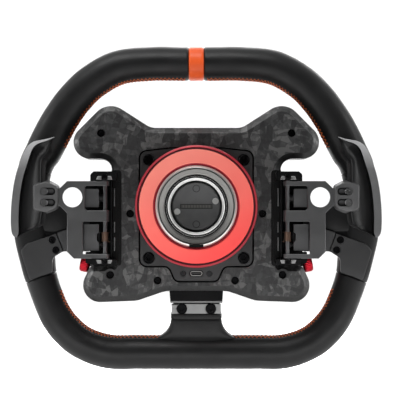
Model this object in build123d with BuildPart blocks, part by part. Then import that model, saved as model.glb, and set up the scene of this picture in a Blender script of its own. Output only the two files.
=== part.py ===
"""Racing wheel: a 300 mm D-shaped rim on a moulded hub with paddles, buttons and a quick release.

X runs to the right as the wheel is seen from behind, Y runs from the wheelbase side to the
driver, and Z is up. The origin is on the spin axis, at the mouth of the quick-release socket.
Shapes that come in pairs are drawn on the +X side and mirrored. Lengths are in millimetres.
"""

import os
from math import cos, radians, sin

from build123d import *

# Depths along Y
HUB_REAR = -4.0
SOCKET_DEPTH = 15.0
CONTACT_FACE = 17.0
PLATE_REAR = 26.0
COVER_REAR = 25.5
FRAME_REAR = 44.0
FRAME_FRONT = 50.0
FACE = 66.0
WALL = 3.0
RIM_MID = 47.0
RIM_FLAT = 34.0

# Quick release
HUB_R = 32.0
BORE_R = 21.8
RING_OUTER_R = 48.0
RING_BORE_R = 32.3
RING_REAR = -1.5
RING_LENGTH = 13.0
RING_SLOPE = 0.9
BALL_DEPTH = 8.0
BALL_R = 2.4
BALL_COUNT = 6

# Outlines: half of each, on the +X side, as (x, z, corner radius)
REAR_OUTLINE = [
    (36.5, 63.1, 14), (70.8, 85.0, 16), (117.6, 38.2, 13.4), (66.2, 38.2, 11),
    (66.2, -47.3, 3), (85.0, -47.3, 5.5), (99.0, -77.7, 13.7), (47.4, -75.7, 20), (25.0, -68.0, 20),
]
FRONT_OUTLINE = [
    (36.5, 63.1, 14), (70.8, 85.0, 16), (117.6, 38.2, 13.4), (69.0, 38.2, 8), (69.0, 27.0, 3),
    (84.0, 27.0, 5), (84.0, -46.0, 8), (99.0, -77.7, 13.7), (47.4, -75.7, 20), (25.0, -68.0, 20),
]
BOARD_OUTLINE = [
    (32, 54, 6), (66, 73, 8), (89, 51, 8), (63, 37, 2), (63, 21, 2), (76, 21, 3),
    (76, -30, 3), (68, -58, 6), (40, -63, 8), (22, -58, 6),
]
PLATE_OUTLINE = [(20.0, 46.5, 30), (45.3, 43.8, 6), (45.3, -48.0, 6), (22.0, -48.0, 6), (16.8, -60.0, 5)]

# Rim stations down the +X side: centre x, centre z, width across, depth along Y
STATIONS = [
    (6.2, 116.1, 27.7, 31), (37.7, 116.1, 27.7, 31), (63.8, 112.8, 28.5, 31), (85.4, 100.2, 28.1, 31),
    (99.3, 87.1, 27.9, 31), (109.6, 72.8, 30.2, 31), (116.7, 60.2, 31.4, 30), (123.9, 45.7, 30.2, 28),
    (131.8, 28.5, 26.4, 26), (136.0, -1.3, 27.7, 26), (133.5, -23.3, 29.0, 26), (129.5, -42.1, 30.0, 26),
    (128.5, -56.0, 25.8, 27), (122.9, -70.0, 24.2, 28), (115.3, -88.2, 26.8, 30), (106.5, -99.4, 27.1, 31),
    (91.9, -111.9, 27.3, 31), (71.2, -118.7, 28.0, 31), (45.9, -118.7, 28.0, 31), (0.0, -118.7, 28.0, 31),
]
UPPER_SPAN = (0, 1, 5, 9)
LOWER_SPAN = (11, 15, 18, 19)
UPPER_SEAM = [(105.0, 24.2), (160.0, 33.0)]
LOWER_SEAM = [(105.0, -49.5), (160.0, -69.85)]
CORE_HALF_WIDTH = 6.0
CORE_THICK = 5.0

# Fastener places
COVER_SCREWS = [(76.3, 58.7), (53.0, -5.8), (69.0, -54.8), (31.0, -59.3)]
PLATE_SCREWS = [(38.0, 37.2), (38.0, -41.2)]
SIDE_SCREWS = [(116.2, -27.0), (113.2, -35.2)]
BOTTOM_SCREWS = [(11.7, -82.5)]
PORT_Z = -53.8
PORT_SCREWS = [(10.5, PORT_Z), (-10.5, PORT_Z)]
CONTACT_SCREWS = [(15.2, 4.2), (-15.2, -4.2)]

# Paddles
HINGE_X = 72.2
HINGE_Y = 12.6
PIN_R = 1.5
BRACKET_BASE = 36.0
ARM_REAR = 8.6
ARM_THICK = 3.0
KNUCKLE_R = 3.5
SPRING_LOW = -28.6
SPRING_LENGTH = 9.0
BLADE_SLOTS = [11.8, 3.0]
SLOT_OUTER_X = 119.7
SLOT_INNER_X = 113.8

# Front controls, mirrored to both sides
BUTTONS = [(70.0, 70.0), (86.0, 54.0), (48.5, 52.0), (73.0, 10.0), (73.0, -12.0)]
BUTTON_R = 6.0
BUTTON_REAR = 61.6
BUTTON_PROUD = 3.6
JOYSTICK = (67.0, 51.4)
JOYSTICK_PIVOT = 58.0
DIALS = [(0.0, -46.0), (62.0, -53.0), (-62.0, -53.0)]
DIAL_R = 9.5
ROLLER = (90.8, 52.5, -46.6)
ROLLER_R = 7.2
ROLLER_LENGTH = 8.0
ROLLER_TILT = 11.0
AXLE_R = 1.5
DIAL_SHAFT_R = 3.0
FIT_GAP = 0.3


def facing(depth):
    """Sketch plane across the wheel at that depth, with local x along X and local y along Z."""
    return Plane.XZ.offset(-depth)


def both_sides(points):
    """The +X points followed by their mirror images, in order round the outline."""
    return points + [(-x, z, r) for x, z, r in reversed(points)]


def closed_outline(points):
    """Draws a closed outline with rounded corners from (x, z, radius) points."""
    with BuildLine() as outline:
        FilletPolyline(*[(x, z) for x, z, _ in points], radius=[r for _, _, r in points], close=True)
    make_face(outline.line)


def mirrored(part):
    """The same piece on the -X side."""
    return mirror(part, about=Plane.YZ, mode=Mode.PRIVATE)


def save(name, *solids):
    """Writes one node, from one part or from several separate solids."""
    shape = solids[0] if len(solids) == 1 else Compound(children=list(solids))
    shape.label = name
    export_step(shape, f"parts/{name}.step")
    return shape


def mirror_places(places):
    return places + [(-x, z) for x, z in places]


# ---------------------------------------------------------------- rim


def tangent(index):
    """Unit direction of the rim's centre line at a station, from its neighbours."""
    before = STATIONS[max(index - 1, 0)]
    after = STATIONS[min(index + 1, len(STATIONS) - 1)]
    run = Vector(after[0] - before[0], 0, after[1] - before[1])
    flat_end = index in (0, len(STATIONS) - 1)
    return Vector(1 if index == 0 else -1, 0, 0) if flat_end else run.normalized()


def grip_span(*breaks):
    """A length of grip on the +X side, lofted through elliptical sections from break to break."""
    with BuildPart() as span:
        for first, last in zip(breaks, breaks[1:]):
            for index in range(first, last + 1):
                x, z, width, depth = STATIONS[index]
                along = tangent(index)
                across = Vector(0, 1, 0).cross(along)
                with BuildSketch(Plane(origin=(x, RIM_MID, z), x_dir=across, z_dir=along)):
                    Ellipse(width / 2, depth / 2)
            loft()
    return span.part


def core_outline(offset):
    """Closed smooth line at that distance outside the rim's centre line."""
    half = []
    for index, (x, z, _, _) in enumerate(STATIONS[1:-1], start=1):
        along = tangent(index)
        half.append((x - along.Z * offset, z + along.X * offset))
    points = half + [(-x, z) for x, z in reversed(half)]
    with BuildLine() as outline:
        Spline(*points, periodic=True)
    make_face(outline.line)


def rim_core():
    """Flat aluminium loop inside the grips."""
    with BuildPart() as core:
        with BuildSketch(facing(RIM_MID - CORE_THICK / 2)):
            core_outline(CORE_HALF_WIDTH)
        extrude(amount=-CORE_THICK)
        with BuildSketch(facing(RIM_MID - CORE_THICK / 2)):
            core_outline(-CORE_HALF_WIDTH)
        extrude(amount=-CORE_THICK, mode=Mode.SUBTRACT)
        split(bisect_by=Plane.YZ, keep=Keep.TOP)
        mirror(about=Plane.YZ)
    return core.part


def beyond_seam(seam, z_far):
    """Cuts away what lies past the seam between a grip and the side shell."""
    (x_in, z_in), (x_out, z_out) = seam
    with BuildSketch(facing(0)) as past:
        closed_outline([(x_in, z_in, 0), (x_out, z_out, 0), (x_out, z_far, 0), (x_in, z_far, 0)])
    extrude(past.sketch, amount=-90, mode=Mode.SUBTRACT)


def grips(core):
    """Padded leather lengths of the rim: two over the top, and one round the bottom."""
    with BuildPart() as upper:
        add(grip_span(*UPPER_SPAN))
        beyond_seam(UPPER_SEAM, -40.0)
        add(core, mode=Mode.SUBTRACT)
    with BuildPart() as lower:
        add(grip_span(*LOWER_SPAN))
        beyond_seam(LOWER_SEAM, -20.0)
        mirror(about=Plane.YZ)
        with BuildSketch(facing(RIM_FLAT + 1)):
            closed_outline(both_sides([(19.8, -86.2, 3), (23.0, -96.0, 6), (34.0, -108.0, 0)]))
        extrude(amount=-24)
        with BuildSketch(facing(RIM_FLAT)):
            with Locations((0, -84.6)):
                Rectangle(40.6, 8.2)
        extrude(amount=-5, mode=Mode.SUBTRACT)
        with BuildSketch(facing(RIM_FLAT + 5)):
            with Locations((0, -84)):
                Rectangle(38, 20)
        extrude(amount=-8, mode=Mode.SUBTRACT)
        add(core, mode=Mode.SUBTRACT)
    save("grip_upper_right", upper.part)
    save("grip_upper_left", mirrored(upper.part))
    save("grip_lower", lower.part)


def centre_band(core):
    """Coloured band at the top of the rim, which marks straight ahead."""
    x, z, width, depth = STATIONS[0]
    with BuildPart() as band:
        with BuildSketch(Plane.YZ.offset(-x)):
            with Locations((RIM_MID, z)):
                Ellipse(depth / 2, width / 2)
        extrude(amount=2 * x)
        add(core, mode=Mode.SUBTRACT)
    save("centre_band", band.part)


def side_shell(core):
    """Moulded grip at three o'clock, with the spoke cover and thumb rest that reach the hub."""
    grip = [
        (144.6, 30.3, 0), (149.5, 12.0, 25), (150.0, -10.0, 30), (146.5, -36.0, 20), (140.2, -62.3, 0),
        (115.8, -53.3, 0), (115.6, -42.0, 6), (105.0, -35.5, 8), (84.6, -35.5, 0),
        (84.6, -2.0, 0), (104.0, -2.0, 12), (119.8, 6.0, 12), (119.4, 26.3, 0),
    ]
    with BuildPart() as shell:
        with BuildSketch(facing(RIM_FLAT)):
            closed_outline(grip)
        extrude(amount=-26)
        ends = shell.edges().filter_by(lambda e: abs(e.center().Y - RIM_FLAT - 13) > 12.9)
        outer = ends.filter_by(lambda e: e.center().X > 143)
        thumb = ends.filter_by(lambda e: e.center().X < 121 and -52 < e.center().Z < 25 and e.center().Y > 50)
        fillet(outer, 9)
        fillet(thumb, 4)
        # Rear half of the spoke is cut away for the hub arm and the cover plate.
        with BuildSketch(facing(RIM_FLAT - 1)):
            closed_outline([(84.0, -1.0, 0), (84.0, -40.0, 0), (107.5, -40.0, 0), (103.0, -1.0, 0)])
        extrude(amount=-14, mode=Mode.SUBTRACT)
        with BuildSketch(facing(RIM_FLAT)):
            closed_outline(side_plate_outline(0.25))
        extrude(amount=-3, mode=Mode.SUBTRACT)
        with BuildSketch(facing(RIM_FLAT)):
            closed_outline(arm_tongue_outline(0.2))
        extrude(amount=-10.2, mode=Mode.SUBTRACT)
        with BuildSketch(facing(FRAME_REAR)):
            closed_outline([(84.0, -12.0, 0), (84.0, -37.0, 0), (124.2, -41.2, 0), (124.2, -12.0, 0)])
        extrude(amount=-(FRAME_FRONT - FRAME_REAR + 0.2), mode=Mode.SUBTRACT)
        add(core, mode=Mode.SUBTRACT)
    save("side_shell_right", shell.part)
    save("side_shell_left", mirrored(shell.part))


def side_plate_outline(grow=0.0):
    """Cover plate on the back of the rim, at the end of each hub arm."""
    g = grow
    return [
        (112.9 - g, -21.9 + g, 1), (136.6 + g, -30.0 + g, 5), (141.6 + g, -36.0 + g, 4),
        (134.0 + g, -59.7 - g, 2), (116.4 - g, -53.2 - g, 2), (116.0 - g, -41.6 - g, 6),
        (107.2 - g, -36.0 - g, 1),
    ]


def arm_tongue_outline(grow=0.0):
    """End of the hub arm, under the cover plate."""
    g = grow
    return [(100.0, -12.0 + g, 0), (112.0, -14.0 + g, 0), (124.0 + g, -22.0 + g, 3),
            (120.0 + g, -40.8 - g, 3), (107.0, -36.6 - g, 0), (100.0, -36.6 - g, 0)]


def rim_plates():
    """Cover plates where the three hub arms meet the rim."""
    with BuildPart() as side:
        with BuildSketch(facing(RIM_FLAT - 0.3)):
            closed_outline(side_plate_outline())
        extrude(amount=-3)
        with BuildSketch(facing(RIM_FLAT - 0.3)):
            with Locations(*SIDE_SCREWS):
                Circle(2.0)
        extrude(amount=-3, mode=Mode.SUBTRACT)
        with BuildSketch(facing(RIM_FLAT - 0.3)):
            with Locations(*SIDE_SCREWS):
                Circle(3.1)
        extrude(amount=-1.6, mode=Mode.SUBTRACT)
        chamfer(side.faces().sort_by(Axis.Y)[0].outer_wire().edges(), 0.4)
    save("rim_side_plates", side.part, mirrored(side.part))
    with BuildPart() as bottom:
        with BuildSketch(facing(RIM_FLAT)):
            with Locations((0, -83.5)):
                Rectangle(39.6, 9.4)
        extrude(amount=-5)
        for radius, depth in ((2.7, 5), (4.6, 2.6)):
            with BuildSketch(facing(RIM_FLAT)):
                with Locations(*mirror_places(BOTTOM_SCREWS)):
                    Circle(radius)
            extrude(amount=-depth, mode=Mode.SUBTRACT)
        chamfer(bottom.faces().sort_by(Axis.Y)[0].outer_wire().edges().sort_by(Axis.Z)[-1], 0.6)
    save("rim_bottom_plate", bottom.part)


# ---------------------------------------------------------------- screws


def cap_screw(head_r, head_h, shaft_r, length, socket_r, seat):
    """Socket-head screw at the origin along +Y, with its head's underside at the seat depth."""
    with BuildPart() as screw:
        with BuildSketch(facing(seat - head_h)):
            Circle(head_r)
        extrude(amount=-head_h)
        chamfer(screw.faces().sort_by(Axis.Y)[0].edges(), head_h * 0.15)
        with BuildSketch(facing(seat)):
            Circle(shaft_r)
        extrude(amount=-length)
        with BuildSketch(facing(seat - head_h)):
            RegularPolygon(socket_r, 6)
        extrude(amount=-head_h * 0.6, mode=Mode.SUBTRACT)
    return screw.part


def placed(part, places):
    """Copies of a screw at (x, z) places."""
    return [part.moved(Location((x, 0, z))) for x, z in places]


def screws():
    cover = cap_screw(2.7, 2.6, 1.45, 15.0, 1.5, COVER_REAR + 6.0)
    save("cover_screws", *placed(cover, mirror_places(COVER_SCREWS)))
    plate = cap_screw(4.2, 4.4, 2.4, 11.0, 2.3, PLATE_REAR + 4.0)
    save("adapter_screws", *placed(plate, mirror_places(PLATE_SCREWS)))
    side = cap_screw(2.8, 2.4, 1.9, 10.0, 1.5, RIM_FLAT + 1.3)
    low = cap_screw(4.2, 3.0, 2.45, 9.0, 2.3, RIM_FLAT + 2.6)
    rim = placed(side, mirror_places(SIDE_SCREWS)) + placed(low, mirror_places(BOTTOM_SCREWS))
    save("rim_screws", *rim)


# ---------------------------------------------------------------- hub body


def centre_frame():
    """Machined plate between the covers, with arms to the rim and posts for the adapter plate."""
    with BuildPart() as frame:
        with BuildSketch(facing(FRAME_REAR)):
            closed_outline(both_sides(FRONT_OUTLINE))
            offset(amount=-1.5, mode=Mode.REPLACE)
        extrude(amount=-(FRAME_FRONT - FRAME_REAR))
        side = [(80.0, -12.5, 0), (112.0, -14.0, 0), (124.0, -22.0, 3), (120.0, -40.8, 3),
                (107.0, -36.4, 3), (80.0, -36.4, 0)]
        with BuildSketch(facing(RIM_FLAT + 3.0)):
            closed_outline([(86.8, -14.5, 0), *side[1:5], (86.8, -36.4, 0)])
        extrude(amount=-(FRAME_FRONT - RIM_FLAT - 3.0))
        # The arm's own face stands level with the cover plate, up to the seam between them.
        with BuildSketch(facing(RIM_FLAT - 0.3)):
            closed_outline([(86.8, -14.5, 0), (98.0, -16.5, 0), (112.2, -21.6, 0), (106.6, -36.2, 2),
                            (86.8, -36.2, 0)])
        extrude(amount=-4)
        with BuildSketch(facing(FRAME_REAR)):
            closed_outline(side)
        extrude(amount=-(FRAME_FRONT - FRAME_REAR))
        mirror(about=Plane.YZ)
        with BuildSketch(facing(30.0)):
            closed_outline(both_sides([(21.6, -67.8, 0), (20.8, -77.6, 0)]))
        extrude(amount=-20)
        with BuildSketch(facing(FRAME_REAR)):
            with Locations((0, -66)):
                Rectangle(40, 20)
        extrude(amount=-(FRAME_FRONT - FRAME_REAR))
        with BuildSketch(facing(RIM_FLAT + 5.0)):
            with Locations((0, -82)):
                Rectangle(37.6, 22)
        extrude(amount=-7.8)
        low_edge = frame.edges().filter_by(Axis.X).filter_by_position(Axis.Y, 29.9, 30.1).sort_by(Axis.Z)[0]
        chamfer(low_edge, 1.4)
        with BuildSketch(facing(PLATE_REAR + 5.2)):
            with Locations(*mirror_places(PLATE_SCREWS)):
                Circle(6.0)
        extrude(amount=-(FRAME_REAR - PLATE_REAR - 5.2))
        threads = ((PLATE_SCREWS, 2.5), (COVER_SCREWS, 1.5), (SIDE_SCREWS, 2.0), (BOTTOM_SCREWS, 2.55))
        for places, radius in threads:
            with BuildSketch(facing(PLATE_REAR)):
                with Locations(*mirror_places(places)):
                    Circle(radius)
            extrude(amount=-(FRAME_FRONT - PLATE_REAR), mode=Mode.SUBTRACT)
        roller_pocket(ROLLER_R + 1.4)
    save("centre_frame", frame.part)


def roller_axis(side):
    """Centre of a thumb roller and the direction of its axle, away from the hub."""
    x, y, z = ROLLER
    return Vector(side * x, y, z), Vector(side * cos(radians(ROLLER_TILT)), 0, sin(radians(ROLLER_TILT)))


def roller_pocket(radius):
    """Cuts the room for both thumb rollers out of the part being built."""
    for side in (1, -1):
        centre, out = roller_axis(side)
        start = centre - out * (ROLLER_LENGTH / 2 + 1.0)
        with BuildSketch(Plane(origin=start, z_dir=out)) as pocket:
            Circle(radius)
        extrude(pocket.sketch, amount=ROLLER_LENGTH + 20, mode=Mode.SUBTRACT)


def rear_cover():
    """Hollow rear half of the hub, with sloping sides and bosses for its screws."""
    with BuildPart() as cover:
        with BuildSketch(facing(FRAME_REAR)):
            closed_outline(both_sides(REAR_OUTLINE))
        extrude(amount=FRAME_REAR - COVER_REAR)
        rim = cover.faces().sort_by(Axis.Y)[0].outer_wire().edges()
        chamfer(rim, 4.6)
        with BuildSketch(facing(COVER_REAR + WALL)):
            closed_outline(both_sides(REAR_OUTLINE))
            offset(amount=-6.5, mode=Mode.REPLACE)
        extrude(amount=-(FRAME_REAR - COVER_REAR - WALL), mode=Mode.SUBTRACT)
        with BuildSketch(facing(COVER_REAR)):
            with Locations(*mirror_places(COVER_SCREWS)):
                Circle(5.0)
        extrude(amount=-(FRAME_REAR - COVER_REAR))
        for radius, depth in ((3.2, 6.0), (1.6, FRAME_REAR - COVER_REAR)):
            with BuildSketch(facing(COVER_REAR)):
                with Locations(*mirror_places(COVER_SCREWS)):
                    Circle(radius)
            extrude(amount=-depth, mode=Mode.SUBTRACT)
        # Opening for the adapter plate
        with BuildSketch(facing(COVER_REAR)):
            closed_outline(both_sides(PLATE_OUTLINE))
            offset(amount=0.9, mode=Mode.REPLACE)
        extrude(amount=-WALL - 4, mode=Mode.SUBTRACT)
        # Slot in the lower wall for the frame's bottom arm
        with BuildSketch(facing(29.8)):
            with Locations((0, -68)):
                Rectangle(43.8, 14)
        extrude(amount=-15, mode=Mode.SUBTRACT)
        roller_pocket(ROLLER_R + 1.0)
    save("rear_cover", cover.part)


def front_cover():
    """Hollow driver's side of the hub, with holes for the controls."""
    with BuildPart() as cover:
        with BuildSketch(facing(FRAME_FRONT)):
            closed_outline(both_sides(FRONT_OUTLINE))
        extrude(amount=-(FACE - FRAME_FRONT))
        rim = cover.faces().sort_by(Axis.Y)[-1].outer_wire().edges()
        chamfer(rim, 2.5)
        with BuildSketch(facing(FRAME_FRONT)):
            closed_outline(both_sides(FRONT_OUTLINE))
            offset(amount=-WALL, mode=Mode.REPLACE)
        extrude(amount=-(FACE - FRAME_FRONT - WALL), mode=Mode.SUBTRACT)
        with BuildSketch(facing(FRAME_FRONT)):
            with Locations(*mirror_places(BUTTONS)):
                Circle(BUTTON_R + FIT_GAP)
            with Locations(*mirror_places([JOYSTICK])):
                Circle(6.5)
            with Locations(*DIALS):
                Circle(DIAL_SHAFT_R + 0.08)
        extrude(amount=-(FACE - FRAME_FRONT), mode=Mode.SUBTRACT)
        roller_pocket(ROLLER_R + 1.0)
        for side in (1, -1):
            centre, out = roller_axis(side)
            with BuildSketch(Plane(origin=centre - out * 11.5, z_dir=out)):
                Circle(AXLE_R)
            extrude(amount=14.0)
    save("front_cover", cover.part)


def main_board():
    """Circuit board on the driver's side of the frame."""
    with BuildPart() as board:
        with BuildSketch(facing(FRAME_FRONT + 1.6)):
            closed_outline(both_sides(BOARD_OUTLINE))
        extrude(amount=-1.6)
        with BuildSketch(facing(FRAME_FRONT)):
            with Locations(*mirror_places([(60.0, 62.0), (56.0, 18.0), (56.0, -52.0), (20.0, -30.0)])):
                Circle(2.5)
        extrude(amount=-1.6)
        for x, z, size in ((0, 10, 14), (22, 10, 8), (-20, 24, 10), (0, -14, 9)):
            with BuildSketch(facing(FRAME_FRONT + 3.2)):
                with Locations((x, z)):
                    Rectangle(size, size)
            extrude(amount=-1.4)
    save("main_board", board.part)


# ---------------------------------------------------------------- quick release


def adapter_plate():
    """Plate that carries the quick release, recessed in the rear cover, with the data port tab."""
    with BuildPart() as plate:
        with BuildSketch(facing(PLATE_REAR)):
            closed_outline(both_sides(PLATE_OUTLINE))
        extrude(amount=-5)
        chamfer(plate.faces().sort_by(Axis.Y)[0].outer_wire().edges(), 0.5)
        for radius, depth in ((2.6, 5), (4.9, 4.0)):
            with BuildSketch(facing(PLATE_REAR)):
                with Locations(*mirror_places(PLATE_SCREWS)):
                    Circle(radius)
            extrude(amount=-depth, mode=Mode.SUBTRACT)
        with BuildSketch(facing(PLATE_REAR)):
            with Locations((0, PORT_Z)):
                SlotOverall(11.4, 5.2)
            with Locations(*PORT_SCREWS):
                Circle(1.1)
        extrude(amount=-5, mode=Mode.SUBTRACT)
        with BuildSketch(facing(PLATE_REAR)):
            with Locations(*PORT_SCREWS):
                Circle(2.5)
        extrude(amount=-1.2, mode=Mode.SUBTRACT)
    save("adapter_plate", plate.part)


def usb_socket():
    """Data port behind the tab of the adapter plate."""
    with BuildPart() as socket:
        with BuildSketch(facing(PLATE_REAR + 0.6)):
            with Locations((0, PORT_Z)):
                SlotOverall(9.6, 3.8)
                SlotOverall(8.6, 2.8, mode=Mode.SUBTRACT)
        extrude(amount=-7)
        with BuildSketch(facing(PLATE_REAR + 1.6)):
            with Locations((0, PORT_Z)):
                Rectangle(6.8, 0.8)
        extrude(amount=-6)
        with BuildSketch(facing(PLATE_REAR + 7.6)):
            with Locations((0, PORT_Z)):
                Rectangle(11.0, 5.0)
        extrude(amount=-4)
    save("usb_socket", socket.part)


def hub_body():
    """Steel socket that locks on the wheelbase shaft, bolted down on the adapter plate."""
    y = HUB_REAR
    profile = [
        (BORE_R, 0.0), (24.6, y + 1.2), (25.4, y + 1.2), (25.8, y), (28.8, y), (29.2, y + 0.9),
        (29.8, y + 0.9), (30.2, y + 0.3), (31.0, y + 0.6), (HUB_R, y + 2.2), (HUB_R, 20.0), (36.0, 20.0),
        (36.0, PLATE_REAR), (20.6, PLATE_REAR), (20.6, SOCKET_DEPTH), (BORE_R, SOCKET_DEPTH),
    ]
    with BuildPart() as hub:
        with BuildSketch(Plane.XY):
            with BuildLine():
                Polyline(*profile, close=True)
            make_face()
        revolve(axis=Axis.Y, revolution_arc=360)
        # Radial holes that hold the lock balls
        for turn in range(BALL_COUNT):
            angle = 360 / BALL_COUNT * (turn + 0.5)
            out = Vector(cos(radians(angle)), 0, sin(radians(angle)))
            with BuildSketch(Plane(origin=Vector(0, BALL_DEPTH, 0) + out * 20, z_dir=out)):
                Circle(BALL_R + 0.05)
            extrude(amount=HUB_R - 20 + 1, mode=Mode.SUBTRACT)
        # Index notch at the bottom of the outer lip
        with BuildSketch(facing(HUB_REAR)):
            with Locations((0, -HUB_R)):
                Rectangle(11, 5.0)
        extrude(amount=-2.6, mode=Mode.SUBTRACT)
    save("hub_body", hub.part)
    balls = []
    for turn in range(BALL_COUNT):
        angle = radians(360 / BALL_COUNT * (turn + 0.5))
        radius = BORE_R + BALL_R + 0.1
        with BuildPart() as ball:
            with Locations((radius * cos(angle), BALL_DEPTH, radius * sin(angle))):
                Sphere(BALL_R)
        balls.append(ball.part)
    save("lock_balls", *balls)


def release_ring():
    """Collar that slides toward the driver to free the lock balls."""
    r, rear, front = RING_OUTER_R, RING_REAR, RING_REAR + RING_LENGTH
    edge = rear + RING_SLOPE
    profile = [
        (RING_BORE_R, rear + 1.2), (RING_BORE_R + 1.2, rear + 0.2), (34.4, rear), (44.6, edge),
        (45.4, edge + 0.8), (46.0, edge + 0.8), (46.6, edge + 0.2), (r - 0.5, edge + 0.8), (r, edge + 1.8),
        (r, rear + 4.6),
        (r - 1.6, rear + 6.0), (r - 1.6, rear + 8.4), (r, rear + 9.8), (r, front - 1.0), (r - 1.0, front),
        (RING_BORE_R, front), (RING_BORE_R, rear + 6.9), (RING_BORE_R + 1.8, rear + 5.6),
        (RING_BORE_R + 1.8, rear + 3.8), (RING_BORE_R, rear + 2.5),
    ]
    with BuildPart() as ring:
        with BuildSketch(Plane.XY):
            with BuildLine():
                Polyline(*profile, close=True)
            make_face()
        revolve(axis=Axis.Y, revolution_arc=360)
    save("release_ring", ring.part)


def contact_block():
    """Insulated disc at the bottom of the socket, with the strip of spring contacts."""
    face = CONTACT_FACE
    with BuildPart() as block:
        with BuildSketch(facing(face)):
            Circle(18.8)
        extrude(amount=-(PLATE_REAR - face))
        chamfer(block.faces().sort_by(Axis.Y)[0].edges(), 0.5)
        with BuildSketch(facing(face)):
            Rectangle(25.6, 3.6)
            with Locations((0, 14.2), (0, -14.2)):
                Circle(2.9)
                Circle(2.5, mode=Mode.SUBTRACT)
        extrude(amount=-0.8, mode=Mode.SUBTRACT)
        with BuildSketch(facing(face + 0.1)):
            with GridLocations(2.3, 1, 10, 1):
                Rectangle(1.3, 2.2)
        extrude(amount=-0.7)
        with BuildSketch(facing(face)):
            with Locations(*CONTACT_SCREWS):
                Circle(1.1)
        extrude(amount=-4.5, mode=Mode.SUBTRACT)
    save("contact_block", block.part)
    contact = cap_screw(2.5, 1.4, 1.0, 4.0, 1.1, face)
    port = cap_screw(2.2, 1.0, 1.0, 3.0, 0.9, PLATE_REAR + 1.2)
    save("small_screws", *placed(contact, CONTACT_SCREWS), *placed(port, PORT_SCREWS))


# ---------------------------------------------------------------- paddles


def paddle_bracket():
    """Base of one paddle, with an ear at each end of the hinge pin."""
    with BuildPart() as bracket:
        with BuildSketch(facing(BRACKET_BASE)):
            closed_outline([(66.8, 27.6, 3), (85.6, 27.6, 3), (85.6, 19.0, 0.5), (90.0, 19.0, 1),
                            (90.0, -5.0, 1), (85.6, -5.0, 0.5), (85.6, -36.8, 0.5), (89.4, -36.8, 0.5),
                            (89.4, -46.4, 2), (66.8, -46.4, 3)])
        extrude(amount=-(FRAME_REAR - BRACKET_BASE))
        for z_near, z_end in ((20.8, 27.6), (-42.0, -46.4)):
            ear = [(81.6, z_end, 1.5), (83.4, z_near, 0.5)]
            with BuildSketch(facing(ARM_REAR)):
                closed_outline([(63.0, z_near, 0.5), (63.0, z_end, 1.5), *ear])
            extrude(amount=-(COVER_REAR - 0.5 - ARM_REAR))
            with BuildSketch(facing(COVER_REAR - 0.5)):
                closed_outline([(66.8, z_near, 0.5), (66.8, z_end, 1.5), *ear])
            extrude(amount=-(BRACKET_BASE - COVER_REAR + 0.5))
        # Wall between the ears, and the post that stops the arm at the end of its travel
        with BuildSketch(facing(16.0)):
            with Locations((67.4, -9.4)):
                Rectangle(1.2, 72.0)
        extrude(amount=-(BRACKET_BASE - 16.0))
        with BuildSketch(facing(13.1)):
            with Locations((83.4, -7.6)):
                Rectangle(4.0, 5.0)
        extrude(amount=-(BRACKET_BASE - 13.1))
        with BuildSketch(Plane.XY.offset(-47.0)):
            with Locations((HINGE_X, HINGE_Y)):
                Circle(PIN_R + 0.02)
        extrude(amount=76, mode=Mode.SUBTRACT)
        with BuildSketch(facing(ARM_REAR)):
            with Locations((HINGE_X, 24.0), (HINGE_X, -44.2)):
                Circle(1.3)
        extrude(amount=-(HINGE_Y - ARM_REAR), mode=Mode.SUBTRACT)
    save("paddle_brackets", bracket.part, mirrored(bracket.part))


def hinge_pins():
    with BuildPart() as pin:
        with BuildSketch(Plane.XY.offset(-46.2)):
            with Locations((HINGE_X, HINGE_Y)):
                Circle(PIN_R)
        extrude(amount=73.6)
        chamfer(pin.edges(), 0.3)
    save("hinge_pins", pin.part, mirrored(pin.part))
    grub = cap_screw(1.9, 1.2, 1.25, HINGE_Y - PIN_R - ARM_REAR - 0.05, 0.9, ARM_REAR)
    save("pin_screws", *placed(grub, mirror_places([(HINGE_X, 24.0), (HINGE_X, -44.2)])))


def magnet_blocks():
    """Holders that keep each paddle at rest until the driver pulls it."""
    with BuildPart() as block:
        with BuildSketch(facing(14.2)):
            closed_outline([(77.2, 13.8, 0.5), (88.3, 13.8, 0.5), (88.3, -0.6, 0.5), (77.2, -0.6, 0.5)])
        extrude(amount=-21.8)
        with BuildSketch(facing(14.2)):
            closed_outline([(77.2, -14.2, 0.5), (88.7, -14.2, 0.5), (88.7, -35.0, 0.5), (77.2, -35.0, 0.5),
                            (77.2, -28.6, 0), (78.8, -27.0, 0), (78.8, -22.0, 0), (77.2, -20.4, 0)])
        extrude(amount=-14)
        with BuildSketch(facing(28.2)):
            closed_outline([(77.2, -20.4, 0.5), (85.2, -20.4, 0.5), (85.2, -35.0, 0.5), (77.2, -35.0, 0.5)])
        extrude(amount=-7.8)
        # Magnet faces, close to the steel tail of the arm
        for z, length in ((6.6, 6.0), (-31.0, 4.0)):
            with BuildSketch(Plane.YZ.offset(74.2)):
                with Locations((22.6, z)):
                    Circle(length / 2)
            extrude(amount=4.0)
    save("magnet_blocks", block.part, mirrored(block.part))


def paddle_springs():
    """Torsion spring round each hinge pin, drawn as its coil."""
    with BuildPart() as spring:
        with BuildSketch(Plane.XY.offset(SPRING_LOW)):
            with Locations((HINGE_X, HINGE_Y)):
                Circle(3.2)
                Circle(PIN_R + 0.4, mode=Mode.SUBTRACT)
        extrude(amount=SPRING_LENGTH)
    save("paddle_springs", spring.part, mirrored(spring.part))


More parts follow.
